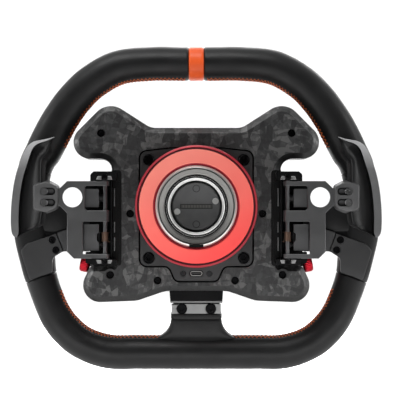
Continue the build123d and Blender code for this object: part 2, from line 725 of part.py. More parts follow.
def paddle_arm():
    """Pivoting plate of one paddle, with its knuckles, tail and the tongue that the blade bolts to."""
    z_mid = [(16.2, 20.0), (-12.0, -3.2), (-41.2, -37.6)]
    with BuildPart() as arm:
        with BuildSketch(facing(ARM_REAR)):
            closed_outline([(HINGE_X - 1.8, 20.0, 0.6), (101.8, 20.0, 1), (107.6, 14.4, 1), (125.0, 14.4, 2),
                            (125.0, 0.4, 2), (107.6, 0.4, 1), (101.9, -5.4, 1), (101.9, -35.8, 1),
                            (96.5, -41.2, 1), (HINGE_X - 1.8, -41.2, 0.6)])
            with Locations((97.7, 7.2)):
                Circle(7.9, mode=Mode.SUBTRACT)
        extrude(amount=-ARM_THICK)
        with BuildSketch(facing(ARM_REAR)):
            closed_outline([(60.0, 16.2, 0), (86.8, 16.2, 0), (87.8, 15.2, 0), (87.8, -1.6, 0),
                            (86.2, -3.2, 0), (60.0, -3.2, 0)])
            closed_outline([(60.0, -12.0, 0), (88.8, -12.0, 0), (89.5, -12.7, 0), (89.5, -37.6, 0),
                            (60.0, -37.6, 0)])
        extrude(amount=-ARM_THICK, mode=Mode.SUBTRACT)
        for z_low, z_high in [(min(pair), max(pair)) for pair in z_mid]:
            with BuildSketch(Plane.XY.offset(z_low)):
                with Locations((HINGE_X, HINGE_Y)):
                    Circle(KNUCKLE_R)
            extrude(amount=z_high - z_low)
            with BuildSketch(facing(HINGE_Y)):
                with Locations((HINGE_X, (z_low + z_high) / 2)):
                    Rectangle(3.0, z_high - z_low)
            extrude(amount=-12)
        # Tail behind the pin, which rests against the magnets
        with BuildSketch(facing(17.2)):
            with Locations((HINGE_X, -10.6)):
                Rectangle(3.0, 61.2)
        extrude(amount=-12)
        with BuildSketch(Plane.XY.offset(-41.2)):
            with Locations((HINGE_X, HINGE_Y)):
                Circle(PIN_R + 0.06)
        extrude(amount=61.2, mode=Mode.SUBTRACT)
        with BuildSketch(facing(ARM_REAR)):
            with Locations(*[(SLOT_OUTER_X, z) for z in BLADE_SLOTS]):
                Circle(1.55)
        extrude(amount=-ARM_THICK, mode=Mode.SUBTRACT)
        chamfer(arm.faces().sort_by(Axis.Y)[0].outer_wire().edges(), 0.4)
    save("paddle_arm_right", arm.part)
    save("paddle_arm_left", mirrored(arm.part))


def paddle_blade():
    """Curved finger blade: a pad that bolts to the arm, and a wing that sweeps out over the rim."""
    wing = [
        (111.0, 53.8, 0.6), (126.0, 52.8, 5), (134.2, 47.8, 6), (141.6, 30.0, 40), (147.4, 8.0, 30),
        (147.6, -24.6, 4), (143.2, -25.2, 1), (121.0, -18.4, 2), (118.2, -3.0, 1), (111.6, -2.2, 2),
        (109.6, 0.0, 1.5), (109.6, 15.6, 1.5), (112.0, 18.0, 2), (118.7, 20.4, 3), (118.6, 35.4, 4),
        (113.8, 41.8, 4),
    ]
    band = [
        (108.0, 4.9), (118.6, 4.9), (126.0, 8.6), (136.5, 17.6), (141.0, 18.6), (150.0, 18.6),
        (150.0, 23.0), (139.5, 23.0), (134.0, 21.2), (124.0, 13.6), (117.4, 8.55), (108.0, 8.55),
    ]
    with BuildPart() as blade:
        with BuildSketch(facing(0)):
            closed_outline(wing)
        extrude(amount=-30)
        with BuildSketch(Plane.XY.offset(-40)):
            with BuildLine():
                Polyline(*band, close=True)
            make_face()
            fillet(vertices().filter_by_position(Axis.X, 115, 145), 3)
        extrude(amount=110, mode=Mode.INTERSECT)
        # Flat pad over the arm's tongue
        with BuildSketch(facing(4.9)):
            closed_outline([(110.2, 0.4, 1), (110.2, 15.2, 1), (112.2, 17.6, 2), (126.4, 18.2, 3),
                            (126.4, -1.6, 3), (112.2, -1.8, 2)])
        extrude(amount=-(ARM_REAR - 0.05 - 4.9))
        with BuildSketch(facing(ARM_REAR - 0.05)):
            with Locations((112.0, 7.4)):
                Rectangle(27.0, 15.0)
        extrude(amount=-ARM_THICK - 0.3, mode=Mode.SUBTRACT)
        for width, depth in ((6.0, 1.8), (3.4, 6.0)):
            with BuildSketch(facing(4.9)):
                with Locations(*[((SLOT_OUTER_X + SLOT_INNER_X) / 2, z) for z in BLADE_SLOTS]):
                    SlotCenterToCenter(SLOT_OUTER_X - SLOT_INNER_X, width)
            extrude(amount=-depth, mode=Mode.SUBTRACT)
    save("paddle_blade_right", blade.part)
    save("paddle_blade_left", mirrored(blade.part))
    screw = cap_screw(2.85, 1.6, 1.45, 6.4, 1.3, 4.9 + 1.8)
    right = placed(screw, [(SLOT_OUTER_X, z) for z in BLADE_SLOTS])
    save("blade_screws_right", *right)
    save("blade_screws_left", *[mirrored(s) for s in right])


# ---------------------------------------------------------------- front controls


def buttons():
    places = mirror_places(BUTTONS)
    for number, (x, z) in enumerate(places, start=1):
        with BuildPart() as button:
            with BuildSketch(facing(BUTTON_REAR)):
                with Locations((x, z)):
                    Circle(BUTTON_R)
            extrude(amount=-(FACE + BUTTON_PROUD - BUTTON_REAR))
            fillet(button.faces().sort_by(Axis.Y)[-1].edges(), 1.0)
            with BuildSketch(facing(BUTTON_REAR)):
                with Locations((x, z)):
                    Circle(BUTTON_R + 1.2)
            extrude(amount=-1.2)
            with BuildSketch(facing(BUTTON_REAR - 3.0)):
                with Locations((x, z)):
                    Circle(1.8)
            extrude(amount=-3.0)
        save(f"button_{number:02d}", button.part)
    bezels = []
    for x, z in places:
        with BuildPart() as bezel:
            with BuildSketch(facing(FACE)):
                with Locations((x, z)):
                    Circle(BUTTON_R + 2.2)
                    Circle(BUTTON_R + FIT_GAP, mode=Mode.SUBTRACT)
            extrude(amount=-1.6)
            chamfer(bezel.faces().sort_by(Axis.Y)[-1].outer_wire().edges(), 0.7)
        bezels.append(bezel.part)
    save("button_bezels", *bezels)


def tilted_pins(axis_plane, reach, centre, radius, length):
    """Two short pins along one axis, on opposite sides of a joystick's pivot."""
    for way in (1, -1):
        origin = Vector(*centre) + axis_plane.z_dir * (way * reach)
        with BuildSketch(Plane(origin=origin, z_dir=axis_plane.z_dir * way)) as pin:
            Circle(radius)
        extrude(pin.sketch, amount=length)


def joysticks():
    """Tilting, pushing and turning switches under each thumb, each in its own housing."""
    x, z = JOYSTICK
    y = JOYSTICK_PIVOT
    housings = []
    for side, x_side in (("right", x), ("left", -x)):
        middle = (x_side, y, z)
        with BuildPart() as housing:
            with BuildSketch(facing(y - 3.2)):
                with Locations((x_side, z)):
                    Circle(9.6)
                    Circle(8.4, mode=Mode.SUBTRACT)
            extrude(amount=-(FACE - WALL - y + 3.2))
            with BuildSketch(Plane(origin=(x_side - 12, y, z), z_dir=(1, 0, 0))):
                Circle(0.87)
            extrude(amount=24, mode=Mode.SUBTRACT)
        housings.append(housing.part)
        with BuildPart() as gimbal:
            with BuildSketch(facing(y - 1.4)):
                with Locations((x_side, z)):
                    Circle(7.8)
                    Circle(6.0, mode=Mode.SUBTRACT)
            extrude(amount=-2.8)
            tilted_pins(Plane.YZ, 7.6, middle, 0.8, 1.8)
            with BuildSketch(Plane(origin=(x_side, y, z - 9), z_dir=(0, 0, 1))):
                Circle(0.87)
            extrude(amount=18, mode=Mode.SUBTRACT)
        save(f"joystick_{side}_gimbal", gimbal.part)
        with BuildPart() as cradle:
            with BuildSketch(facing(y - 1.2)):
                with Locations((x_side, z)):
                    Circle(5.4)
            extrude(amount=-2.4)
            tilted_pins(Plane.XY, 5.0, middle, 0.8, 2.6)
            with BuildSketch(facing(y - 1.2)):
                with Locations((x_side, z)):
                    Circle(2.06)
            extrude(amount=-2.4, mode=Mode.SUBTRACT)
        save(f"joystick_{side}_cradle", cradle.part)
        with BuildPart() as shaft:
            with BuildSketch(facing(y - 3.0)):
                with Locations((x_side, z)):
                    Circle(2.0)
            extrude(amount=-19.0)
            with BuildSketch(facing(y + 3.0)):
                with Locations((x_side, z)):
                    Circle(3.2)
            extrude(amount=-1.0)
        save(f"joystick_{side}_shaft", shaft.part)
        with BuildPart() as knob:
            with BuildSketch(facing(FACE + 3.4)):
                with Locations((x_side, z)):
                    Circle(6.8)
            extrude(amount=-8.0)
            chamfer(knob.faces().sort_by(Axis.Y)[-1].edges(), 0.5)
            with BuildSketch(facing(FACE + 3.4)):
                with Locations((x_side, z)):
                    with PolarLocations(7.4, 12):
                        Circle(1.1)
            extrude(amount=-8.0, mode=Mode.SUBTRACT)
            with BuildSketch(facing(FACE + 3.4)):
                with Locations((x_side, z)):
                    Circle(2.04)
            extrude(amount=-5.0, mode=Mode.SUBTRACT)
        save(f"joystick_{side}_knob", knob.part)
    save("joystick_housings", *housings)


def dials():
    for name, (x, z) in zip(("centre", "right", "left"), DIALS):
        with BuildPart() as dial:
            with BuildSketch(facing(FACE + 0.8)):
                with Locations((x, z)):
                    Circle(DIAL_R)
            extrude(amount=-11.0)
            chamfer(dial.faces().sort_by(Axis.Y)[-1].edges(), 0.4)
            with BuildSketch(facing(FACE + 0.8)):
                with Locations((x, z)):
                    with PolarLocations(DIAL_R + 0.5, 20):
                        Circle(0.9)
            extrude(amount=-11.0, mode=Mode.SUBTRACT)
            with BuildSketch(facing(FACE + 10.8)):
                with Locations((x, z + DIAL_R / 2)):
                    Rectangle(1.6, DIAL_R)
            extrude(amount=-1.0, mode=Mode.SUBTRACT)
            with BuildSketch(facing(FRAME_FRONT + 4.0)):
                with Locations((x, z)):
                    Circle(DIAL_SHAFT_R)
            extrude(amount=-(FACE + 0.8 - FRAME_FRONT - 4.0))
        save(f"dial_{name}", dial.part)


def thumb_rollers():
    centre, out = roller_axis(1)
    inner = centre - out * (ROLLER_LENGTH / 2)
    with BuildPart() as roller:
        with BuildSketch(Plane(origin=inner, z_dir=out)):
            Circle(ROLLER_R)
            with PolarLocations(ROLLER_R + 0.25, 24):
                Circle(0.7, mode=Mode.SUBTRACT)
        extrude(amount=ROLLER_LENGTH)
        with BuildSketch(Plane(origin=inner, z_dir=out)):
            Circle(AXLE_R + 0.06)
        extrude(amount=6.8, mode=Mode.SUBTRACT)
    save("thumb_roller_right", roller.part)
    save("thumb_roller_left", mirrored(roller.part))


def main():
    os.makedirs("parts", exist_ok=True)
    core = rim_core()
    save("rim_core", core)
    grips(core)
    centre_band(core)
    side_shell(core)
    rim_plates()
    screws()
    centre_frame()
    rear_cover()
    front_cover()
    main_board()
    adapter_plate()
    usb_socket()
    hub_body()
    release_ring()
    contact_block()
    paddle_bracket()
    hinge_pins()
    magnet_blocks()
    paddle_springs()
    paddle_arm()
    paddle_blade()
    buttons()
    joysticks()
    dials()
    thumb_rollers()


main()
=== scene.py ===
"""Looks of the racing wheel: leather, stitching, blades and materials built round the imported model.

Everything is in metres, in the model's frame: X to the right seen from behind, +Y towards the
driver, Z up, with the origin on the spin axis.
"""

from math import cos, hypot, pi, radians, sin

import bmesh
import bpy
import numpy as np
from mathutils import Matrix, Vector, noise


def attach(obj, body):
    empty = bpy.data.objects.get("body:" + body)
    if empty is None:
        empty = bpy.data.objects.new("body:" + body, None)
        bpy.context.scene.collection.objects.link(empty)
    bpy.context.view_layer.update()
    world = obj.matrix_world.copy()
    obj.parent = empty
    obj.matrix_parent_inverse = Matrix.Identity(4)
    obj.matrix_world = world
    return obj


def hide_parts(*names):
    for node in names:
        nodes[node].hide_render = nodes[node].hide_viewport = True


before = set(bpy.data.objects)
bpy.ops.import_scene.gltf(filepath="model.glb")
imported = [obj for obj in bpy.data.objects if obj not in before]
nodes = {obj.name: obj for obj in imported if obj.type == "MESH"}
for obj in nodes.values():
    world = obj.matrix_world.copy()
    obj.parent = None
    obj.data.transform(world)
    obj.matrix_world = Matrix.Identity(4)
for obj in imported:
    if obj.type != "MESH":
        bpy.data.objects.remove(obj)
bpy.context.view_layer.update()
MM = 0.001

# ---------------------------------------------------------------- camera, floor and light

SENSOR = 36.0
LENS = 121.76
CAMERA_BACK = 1.1
FRAME_SHIFT = (0.028125, -0.003846)

camera_data = bpy.data.cameras.new("Camera")
camera_data.sensor_width = SENSOR
camera_data.lens = LENS
camera_data.shift_x, camera_data.shift_y = FRAME_SHIFT
camera_data.clip_start, camera_data.clip_end = 0.05, 30
camera = bpy.data.objects.new("Camera", camera_data)
camera.location = (0, -CAMERA_BACK, 0)
camera.rotation_euler = (radians(90), 0, 0)
bpy.context.scene.collection.objects.link(camera)
bpy.context.scene.camera = camera
bpy.context.scene.view_settings.view_transform = "Standard"


def linked(obj):
    bpy.context.scene.collection.objects.link(obj)
    return obj


def area_light(name, place, aim, size, power):
    data = bpy.data.lights.new(name, "AREA")
    data.shape = "RECTANGLE"
    data.size, data.size_y = size
    data.energy = power
    light = linked(bpy.data.objects.new(name, data))
    light.location = place
    light.rotation_euler = (Vector(aim) - Vector(place)).to_track_quat("-Z", "Y").to_euler()


DARK_SIDE = 0.03
FLOOR_Z = -0.24
FLOOR_R = 2.6
WALL_RISE = 0.9
WALL_TOP = 2.6
LIGHTS = [  # name, place, aim, size, power
    ("Top_light", (-0.3, -0.6, 1.4), (0, 0, 0), (1.2, 0.5), 18),
    ("Left_light", (-1.5, -0.15, 0.2), (0, 0, 0), (0.4, 1.5), 8),
    ("Right_light", (1.5, -0.15, 0.2), (0, 0, 0), (0.4, 1.5), 8),
    ("Low_light", (0.0, -0.2, -0.234), (0, 0.03, -0.12), (0.9, 0.16), 0.9),
    ("Front_light", (0.3, 1.6, 0.9), (0, 0, 0), (1.6, 1.0), 16),
    ("Backdrop_light", (0.0, 0.9, 0.3), (0, 3.2, 0.2), (2.4, 1.2), 62),
]


def disc_mesh(name, profile, turns=64):
    """Surface of revolution about Z through (radius, height) points."""
    angles = [2 * pi * k / turns for k in range(turns)]
    points = [(r * cos(a), r * sin(a), z) for r, z in profile for a in angles]
    faces = tube_faces(len(profile), turns, capped=False)
    mesh = bpy.data.meshes.new(name)
    mesh.from_pydata(points, [], faces)
    mesh.polygons.foreach_set("use_smooth", [True] * len(mesh.polygons))
    return linked(bpy.data.objects.new(name, mesh))


def studio():
    """Pale floor and backdrop, a sky that is dark only behind the camera's side, and soft lights."""
    world = bpy.data.worlds.new("World")
    world.use_nodes = True
    sky = world.node_tree.nodes["Background"]
    direction = node(world, "TexCoord").outputs["Generated"]
    towards = node(world, "SeparateXYZ", {"Vector": direction}).outputs["Y"]
    shade = remap(world, towards, DARK_SIDE, 1.0, -0.5, 0.15)
    world.node_tree.links.new(shade, sky.inputs["Color"])
    bpy.context.scene.world = world
    paper = material("Floor_paper", (0.93, 0.93, 0.93), roughness=0.95)
    floor = disc_mesh("Floor", [(0.001, FLOOR_Z), (0.6, FLOOR_Z), (FLOOR_R, FLOOR_Z)])
    steps = [k / 12 * pi / 2 for k in range(13)]
    curve = [(FLOOR_R + WALL_RISE * sin(a), FLOOR_Z + WALL_RISE * (1 - cos(a))) for a in steps]
    backdrop = disc_mesh("Backdrop", curve + [(FLOOR_R + WALL_RISE, WALL_TOP)])
    backdrop.visible_glossy = backdrop.visible_diffuse = backdrop.visible_shadow = False
    for surface in (floor, backdrop):
        surface.data.materials.append(paper)
    for light in LIGHTS:
        area_light(*light)


# ---------------------------------------------------------------- materials


def material(name, colour, roughness=0.5, metallic=0.0, **sockets):
    made = bpy.data.materials.new(name)
    made.use_nodes = True
    shader = made.node_tree.nodes["Principled BSDF"]
    shader.inputs["Base Color"].default_value = (*colour, 1)
    shader.inputs["Roughness"].default_value = roughness
    shader.inputs["Metallic"].default_value = metallic
    for socket, value in sockets.items():
        shader.inputs[socket.replace("_", " ")].default_value = value
    made.diffuse_color = (*colour, 1)
    return made


def node(made, kind, inputs=None, **settings):
    """Adds a node to a material. An input is a number, a colour, or another node's output."""
    added = made.node_tree.nodes.new("ShaderNode" + kind)
    for key, value in settings.items():
        setattr(added, key, value)
    for key, value in (inputs or {}).items():
        if isinstance(value, bpy.types.NodeSocket):
            made.node_tree.links.new(value, added.inputs[key])
        else:
            added.inputs[key].default_value = value
    return added


def place_of(made, stretch=(1, 1, 1), turn=(0, 0, 0)):
    """Object position, in metres, stretched and turned."""
    where = node(made, "TexCoord").outputs["Object"]
    return node(made, "Mapping", {"Vector": where, "Scale": stretch, "Rotation": turn}).outputs["Vector"]


def grain(made, scale, detail=3.0, rough=0.55, where=None):
    where = where or place_of(made)
    inputs = {"Vector": where, "Scale": scale, "Detail": detail, "Roughness": rough}
    return node(made, "TexNoise", inputs).outputs["Fac"]


def cells(made, scale, feature="F1", where=None, output="Distance"):
    where = where or place_of(made)
    return node(made, "TexVoronoi", {"Vector": where, "Scale": scale}, feature=feature).outputs[output]


def ramp(made, factor, stops):
    """Colour ramp from (position, colour or grey) stops."""
    added = node(made, "ValToRGB", {"Fac": factor})
    elements = added.color_ramp.elements
    while len(elements) < len(stops):
        elements.new(0.5)
    for element, (position, colour) in zip(elements, stops):
        element.position = position
        element.color = (*colour, 1) if isinstance(colour, tuple) else (colour, colour, colour, 1)
    return added.outputs["Color"]


def remap(made, value, low, high, from_low=0.0, from_high=1.0):
    inputs = {"Value": value, "From Min": from_low, "From Max": from_high, "To Min": low, "To Max": high}
    return node(made, "MapRange", inputs).outputs["Result"]


def math_node(made, operation, first, second=0.0):
    return node(made, "Math", {0: first, 1: second}, operation=operation).outputs[0]


def times(made, first, second):
    return math_node(made, "MULTIPLY", first, second)


def plus(made, first, second):
    return math_node(made, "ADD", first, second)


def less(made, value, limit):
    return math_node(made, "LESS_THAN", value, limit)


def more(made, value, limit):
    return math_node(made, "GREATER_THAN", value, limit)


def mixed(made, factor, first, second, blend="MIX"):
    added = node(made, "Mix", data_type="RGBA", blend_type=blend)
    for socket, value in ((0, factor), (6, first), (7, second)):
        if isinstance(value, bpy.types.NodeSocket):
            made.node_tree.links.new(value, added.inputs[socket])
        elif socket == 0:
            added.inputs[socket].default_value = value
        else:
            added.inputs[socket].default_value = (*value, 1)
    return added.outputs[2]


def finish_with(made, colour=None, roughness=None, height=None, depth=0.0001, strength=1.0,
                metallic=None):
    """Links colour, roughness and a bump height (in units of depth metres) to the shader."""
    shader = made.node_tree.nodes["Principled BSDF"]
    links = made.node_tree.links
    if colour is not None:
        links.new(colour, shader.inputs["Base Color"])
    if roughness is not None:
        links.new(roughness, shader.inputs["Roughness"])
    if metallic is not None:
        links.new(metallic, shader.inputs["Metallic"])
    if height is not None:
        bump = node(made, "Bump", {"Height": height, "Distance": depth, "Strength": strength})
        links.new(bump.outputs["Normal"], shader.inputs["Normal"])
    return made


def parts_of(made):
    """Object position, in metres, as its X, Y and Z."""
    where = node(made, "TexCoord").outputs["Object"]
    return node(made, "SeparateXYZ", {"Vector": where}).outputs


def base_tint(made):
    return made.node_tree.nodes["Principled BSDF"].inputs["Base Color"].links[0].from_socket


def grey(value, blue=None):
    return (value, value, value if blue is None else blue)


def dimmed(colour, share):
    return tuple(c * share for c in colour)


def spin_radius(made, parts):
    """Distance from the spin axis."""
    return math_node(made, "SQRT", plus(made, *[times(made, parts[i], parts[i]) for i in (0, 2)]))


def step_mask(made, value, low, high):
    """1 where the value lies between low and high, else 0."""
    return times(made, more(made, value, low), less(made, value, high))


def inside_half(made, across, up, half):
    """1 inside a rectangle given by half its width and half its height, else 0."""
    within = [less(made, value, size) for value, size in zip((across, up), half)]
    return times(made, *within)


def leather(name, dark, light, roughness=0.42):
    """Smooth grained leather: fine pebbles, faint creases and uneven dye."""
    made = material(name, light, roughness, Specular_IOR_Level=0.25)
    pebbles = cells(made, 900.0, "SMOOTH_F1")
    pores = grain(made, 2600.0, 2.0)
    height = plus(made, times(made, pebbles, 0.8), times(made, pores, 0.35))
    dye = ramp(made, grain(made, 34.0, 4.0), [(0.3, dark), (0.72, light)])
    rough = remap(made, grain(made, 60.0, 3.0), roughness - 0.06, roughness + 0.1, 0.3, 0.7)
    return finish_with(made, dye, rough, height, 0.00012, 0.55)


CHIP_LAYERS = [  # cells per metre, stretch, turn, share of the tone
    (190.0, (1.0, 1.0, 0.5), (0, 0.5, 0), 0.5),
    (270.0, (0.45, 1.0, 1.0), (0, -0.7, 0), 0.32),
    (520.0, (1.0, 1.0, 0.6), (0, 1.3, 0), 0.18),
]
CHIP_TONES = [
    (0.22, grey(0.006, 0.0065)), (0.46, grey(0.020, 0.0205)),
    (0.62, grey(0.044, 0.0445)), (0.8, grey(0.13, 0.128)),
]
CHIP_WARP = 0.006
UNDERSIDE_SHADE = 0.10
UNDERSIDE = (-0.6, -0.05)


def carbon(name):
    """Forged carbon: overlapping chips of several sizes and tones, with painted shade on faces that look
    down.
    """
    made = material(name, grey(0.05, 0.052), 0.36, Coat_Weight=0.35, Coat_Roughness=0.22)
    warp = node(made, "TexNoise", {"Vector": place_of(made), "Scale": 60.0, "Detail": 2.0}).outputs["Color"]
    bent = node(made, "Mix", data_type="VECTOR")
    made.node_tree.links.new(place_of(made), bent.inputs[4])
    made.node_tree.links.new(warp, bent.inputs[5])
    bent.inputs[0].default_value = CHIP_WARP
    tone = None
    for scale, stretch, turn, weight in CHIP_LAYERS:
        where = {"Vector": bent.outputs[1], "Scale": stretch, "Rotation": turn}
        chip = cells(made, scale, "F1", node(made, "Mapping", where).outputs[0], "Color")
        part = times(made, node(made, "SeparateColor", {"Color": chip}).outputs[0], weight)
        tone = part if tone is None else plus(made, tone, part)
    fibres = grain(made, 1.0, 2.0, 0.6, place_of(made, (2600.0, 300.0, 300.0), (0, 0.6, 0)))
    tone = plus(made, tone, remap(made, fibres, -0.05, 0.05))
    # painted shade: the colour darkens on faces that look down
    normal = node(made, "NewGeometry").outputs["Normal"]
    upward = node(made, "SeparateXYZ", {"Vector": normal}).outputs["Z"]
    shade = remap(made, upward, UNDERSIDE_SHADE, 1.0, *UNDERSIDE)
    shade = node(made, "CombineXYZ", {0: shade, 1: shade, 2: shade}).outputs[0]
    colour = mixed(made, 1.0, ramp(made, tone, CHIP_TONES), shade, "MULTIPLY")
    rough = remap(made, tone, 0.5, 0.3, 0.3, 0.8)
    metal = remap(made, tone, 0.0, 0.5, 0.55, 0.85)
    return finish_with(made, colour, rough, tone, 0.00006, 0.4, metal)


def blasted(name, colour, roughness=0.4, metallic=1.0, scale=5200.0, depth=0.00004):
    """Bead-blasted and anodised metal, with faint handling marks."""
    made = material(name, colour, roughness, metallic)
    speckle = grain(made, scale, 2.0)
    marks = grain(made, 45.0, 4.0, 0.6)
    tint = ramp(made, marks, [(0.3, dimmed(colour, 0.86)), (0.7, colour)])
    rough = remap(made, marks, roughness - 0.05, roughness + 0.07, 0.3, 0.7)
    return finish_with(made, tint, rough, speckle, depth, 0.5)


LATHE_PITCH = 0.0009
NOTCH_TOP, NOTCH_HALF = -0.0296, 0.0056
HUB_GROOVE = (0.0291, 0.0297)
BORE_MOUTH = -0.0005
# heights over which painted shade darkens the hub's lower face
PAINTED_SHADE_UP_TO = (-0.03, 0.004)


def turned(name, colour, roughness=0.3, metallic=0.75):
    """Lathe-turned metal: fine rings, a bright bore, a lower face darkened with painted shade, and a black
    notch and groove.
    """
    made = material(name, colour, roughness, metallic)
    parts = parts_of(made)
    radius = spin_radius(made, parts)
    along = plus(made, radius, parts[1])
    flat = node(made, "CombineXYZ", {0: times(made, along, 1 / LATHE_PITCH)}).outputs[0]
    lines = node(made, "TexNoise", {"Vector": flat, "Scale": 1.0, "Detail": 2.0}).outputs["Fac"]
    tint = ramp(made, lines, [(0.35, dimmed(colour, 0.93)), (0.65, colour)])
    rough = remap(made, lines, roughness - 0.03, roughness + 0.05, 0.3, 0.7)
    low = less(made, parts[2], NOTCH_TOP)
    notch = times(made, low, step_mask(made, parts[0], -NOTCH_HALF, NOTCH_HALF))
    groove = step_mask(made, radius, *HUB_GROOVE)
    bore = more(made, parts[1], BORE_MOUTH)
    # painted shade: the face darkens towards the bottom
    painted_lower_shade = remap(made, parts[2], 1, 0, *PAINTED_SHADE_UP_TO)
    face = less(made, radius, HUB_GROOVE[0])
    tint = mixed(made, times(made, painted_lower_shade, face), tint, dimmed(colour, 0.19))
    tint = mixed(made, bore, tint, grey(0.95, 0.94))
    tint = mixed(made, math_node(made, "MAXIMUM", notch, groove), tint, grey(0.012))
    return finish_with(made, tint, rough, lines, 0.000006, 0.4, remap(made, bore, metallic, 0.1))


RING_SLANT = 0.45
RING_LIT_SPAN = (-0.04, 0.05)
RING_LIPS = (0.0339, 0.0452)
RING_LINE = (0.0447, 0.0463)


def anodised_ring(name, colour, lit_colour, lip, groove):
    """Red anodised collar, paler towards the top left as a painted highlight, with darker lips and a deep
    line by the outer lip.
    """
    made = material(name, colour, 0.44, 0.3)
    parts = parts_of(made)
    radius = spin_radius(made, parts)
    speckle = grain(made, 7000.0, 2.0)
    marks = grain(made, 45.0, 4.0, 0.6)
    # painted highlight: the collar turns paler towards the top left
    slant = math_node(made, "SUBTRACT", parts[2], times(made, parts[0], RING_SLANT))
    painted_top_light = remap(made, plus(made, slant, times(made, marks, 0.012)), 0, 1, *RING_LIT_SPAN)
    tint = mixed(made, painted_top_light, colour, lit_colour)
    tint = mixed(made, more(made, radius, RING_LIPS[1]), tint, lip)
    tint = mixed(made, less(made, radius, RING_LIPS[0]), tint, lip)
    tint = mixed(made, step_mask(made, radius, *RING_LINE), tint, groove)
    rough = remap(made, marks, 0.4, 0.5, 0.3, 0.7)
    return finish_with(made, tint, rough, speckle, 0.00002, 0.5)


PLUG_UP = 0.0142
PLUG_LINE = (0.0024, 0.00295)
STRIP_HALF = (0.0129, 0.0019)
BED_HALF = (0.0121, 0.0012)
FINGERS_HALF = (0.0115, 0.0011)
FINGER_PITCH = 0.0023
FINGER_WIDTH = (0.22, 0.78)


def contact_face(name, colour, line, pad):
    """Insulating disc: dark outlines round its two plugs and its strip, and lighter spring contacts."""
    made = moulded(name, colour, 0.45)
    parts = parts_of(made)
    across, up = [math_node(made, "ABSOLUTE", parts[i]) for i in (0, 2)]
    away = math_node(made, "SUBTRACT", up, PLUG_UP)
    squares = plus(made, times(made, across, across), times(made, away, away))
    plug = step_mask(made, math_node(made, "SQRT", squares), *PLUG_LINE)
    strip = inside_half(made, across, up, STRIP_HALF)
    shifted = plus(made, parts[0], FINGER_PITCH * 25)
    beat = math_node(made, "FRACT", times(made, shifted, 1 / FINGER_PITCH))
    finger = times(made, step_mask(made, beat, *FINGER_WIDTH), inside_half(made, across, up, FINGERS_HALF))
    tint = mixed(made, math_node(made, "MAXIMUM", plug, strip), base_tint(made), line)
    tint = mixed(made, inside_half(made, across, up, BED_HALF), tint, dimmed(pad, 0.6))
    return finish_with(made, mixed(made, finger, tint, pad))


SIDE_ARM_X = (0.0868, 0.1122)
BEVEL_Z = (-0.0778, -0.0761)
BEVEL_DEPTH = 0.033


def frame_finish(name, colour, arm, bevel):
    """Black frame: the backs of its side arms are left plain, and a highlight is painted along the lower
    arm's bevel.
    """
    made = blasted(name, colour)
    parts = parts_of(made)
    side = step_mask(made, math_node(made, "ABSOLUTE", parts[0]), *SIDE_ARM_X)
    near = less(made, parts[1], BEVEL_DEPTH)
    # painted highlight: the lower arm's bevel is coloured bright
    painted_bevel_highlight = times(made, step_mask(made, parts[2], *BEVEL_Z), near)
    return finish_with(made, mixed(made, painted_bevel_highlight, mixed(made, side, base_tint(made), arm), bevel))


PORT_BELOW = -0.05
PORT_INSIDE = 0.0269
TONGUE_Z = (-0.0543, -0.0533)


def small_screw_finish(name, colour, port_colour):
    """Plain steel contact screws in the socket, and blackened ones at the port, lower down."""
    made = blasted(name, colour, 0.3)
    low = less(made, parts_of(made)[2], PORT_BELOW)
    return finish_with(made, mixed(made, low, base_tint(made), port_colour))


def port_finish(name, colour, inside, tongue):
    """Data port: a plated rim, a dark inside and a grey tongue."""
    made = blasted(name, colour, 0.35)
    parts = parts_of(made)
    deep = more(made, parts[1], PORT_INSIDE)
    middle = times(made, deep, step_mask(made, parts[2], *TONGUE_Z))
    return finish_with(made, mixed(made, middle, mixed(made, deep, base_tint(made), inside), tongue))


TIP_LIT_Z = (0.03, 0.05)


def strip_finish(name, colour, top):
    """Grip strip along the blade, with painted light making it paler towards its tip."""
    made = moulded(name, colour, 0.5, 1500.0, 0.00025)
    # painted light: the strip turns paler towards the blade's tip
    painted_tip_light = remap(made, parts_of(made)[2], 0, 1, *TIP_LIT_Z)
    return finish_with(made, mixed(made, painted_tip_light, base_tint(made), top))


def moulded(name, colour, roughness=0.5, scale=3200.0, depth=0.00005, **sockets):
    """Spark-textured moulded plastic."""
    made = material(name, colour, roughness, **sockets)
    speckle = grain(made, scale, 3.0, 0.65)
    tint = ramp(made, grain(made, 70.0, 3.0), [(0.35, dimmed(colour, 0.8)), (0.65, colour)])
    rough = remap(made, grain(made, 110.0, 3.0), roughness - 0.06, roughness + 0.06, 0.3, 0.7)
    return finish_with(made, tint, rough, speckle, depth, 0.6)


def board_finish():
    """Green solder mask with copper tracks under it."""
    made = material("Board", (0.01, 0.07, 0.03), 0.35)
    tracks = cells(made, 260.0, "DISTANCE_TO_EDGE")
    tint = ramp(made, tracks, [(0.02, (0.03, 0.16, 0.06)), (0.06, (0.006, 0.055, 0.022))])
    return finish_with(made, tint, None, tracks, 0.00003, 0.3)


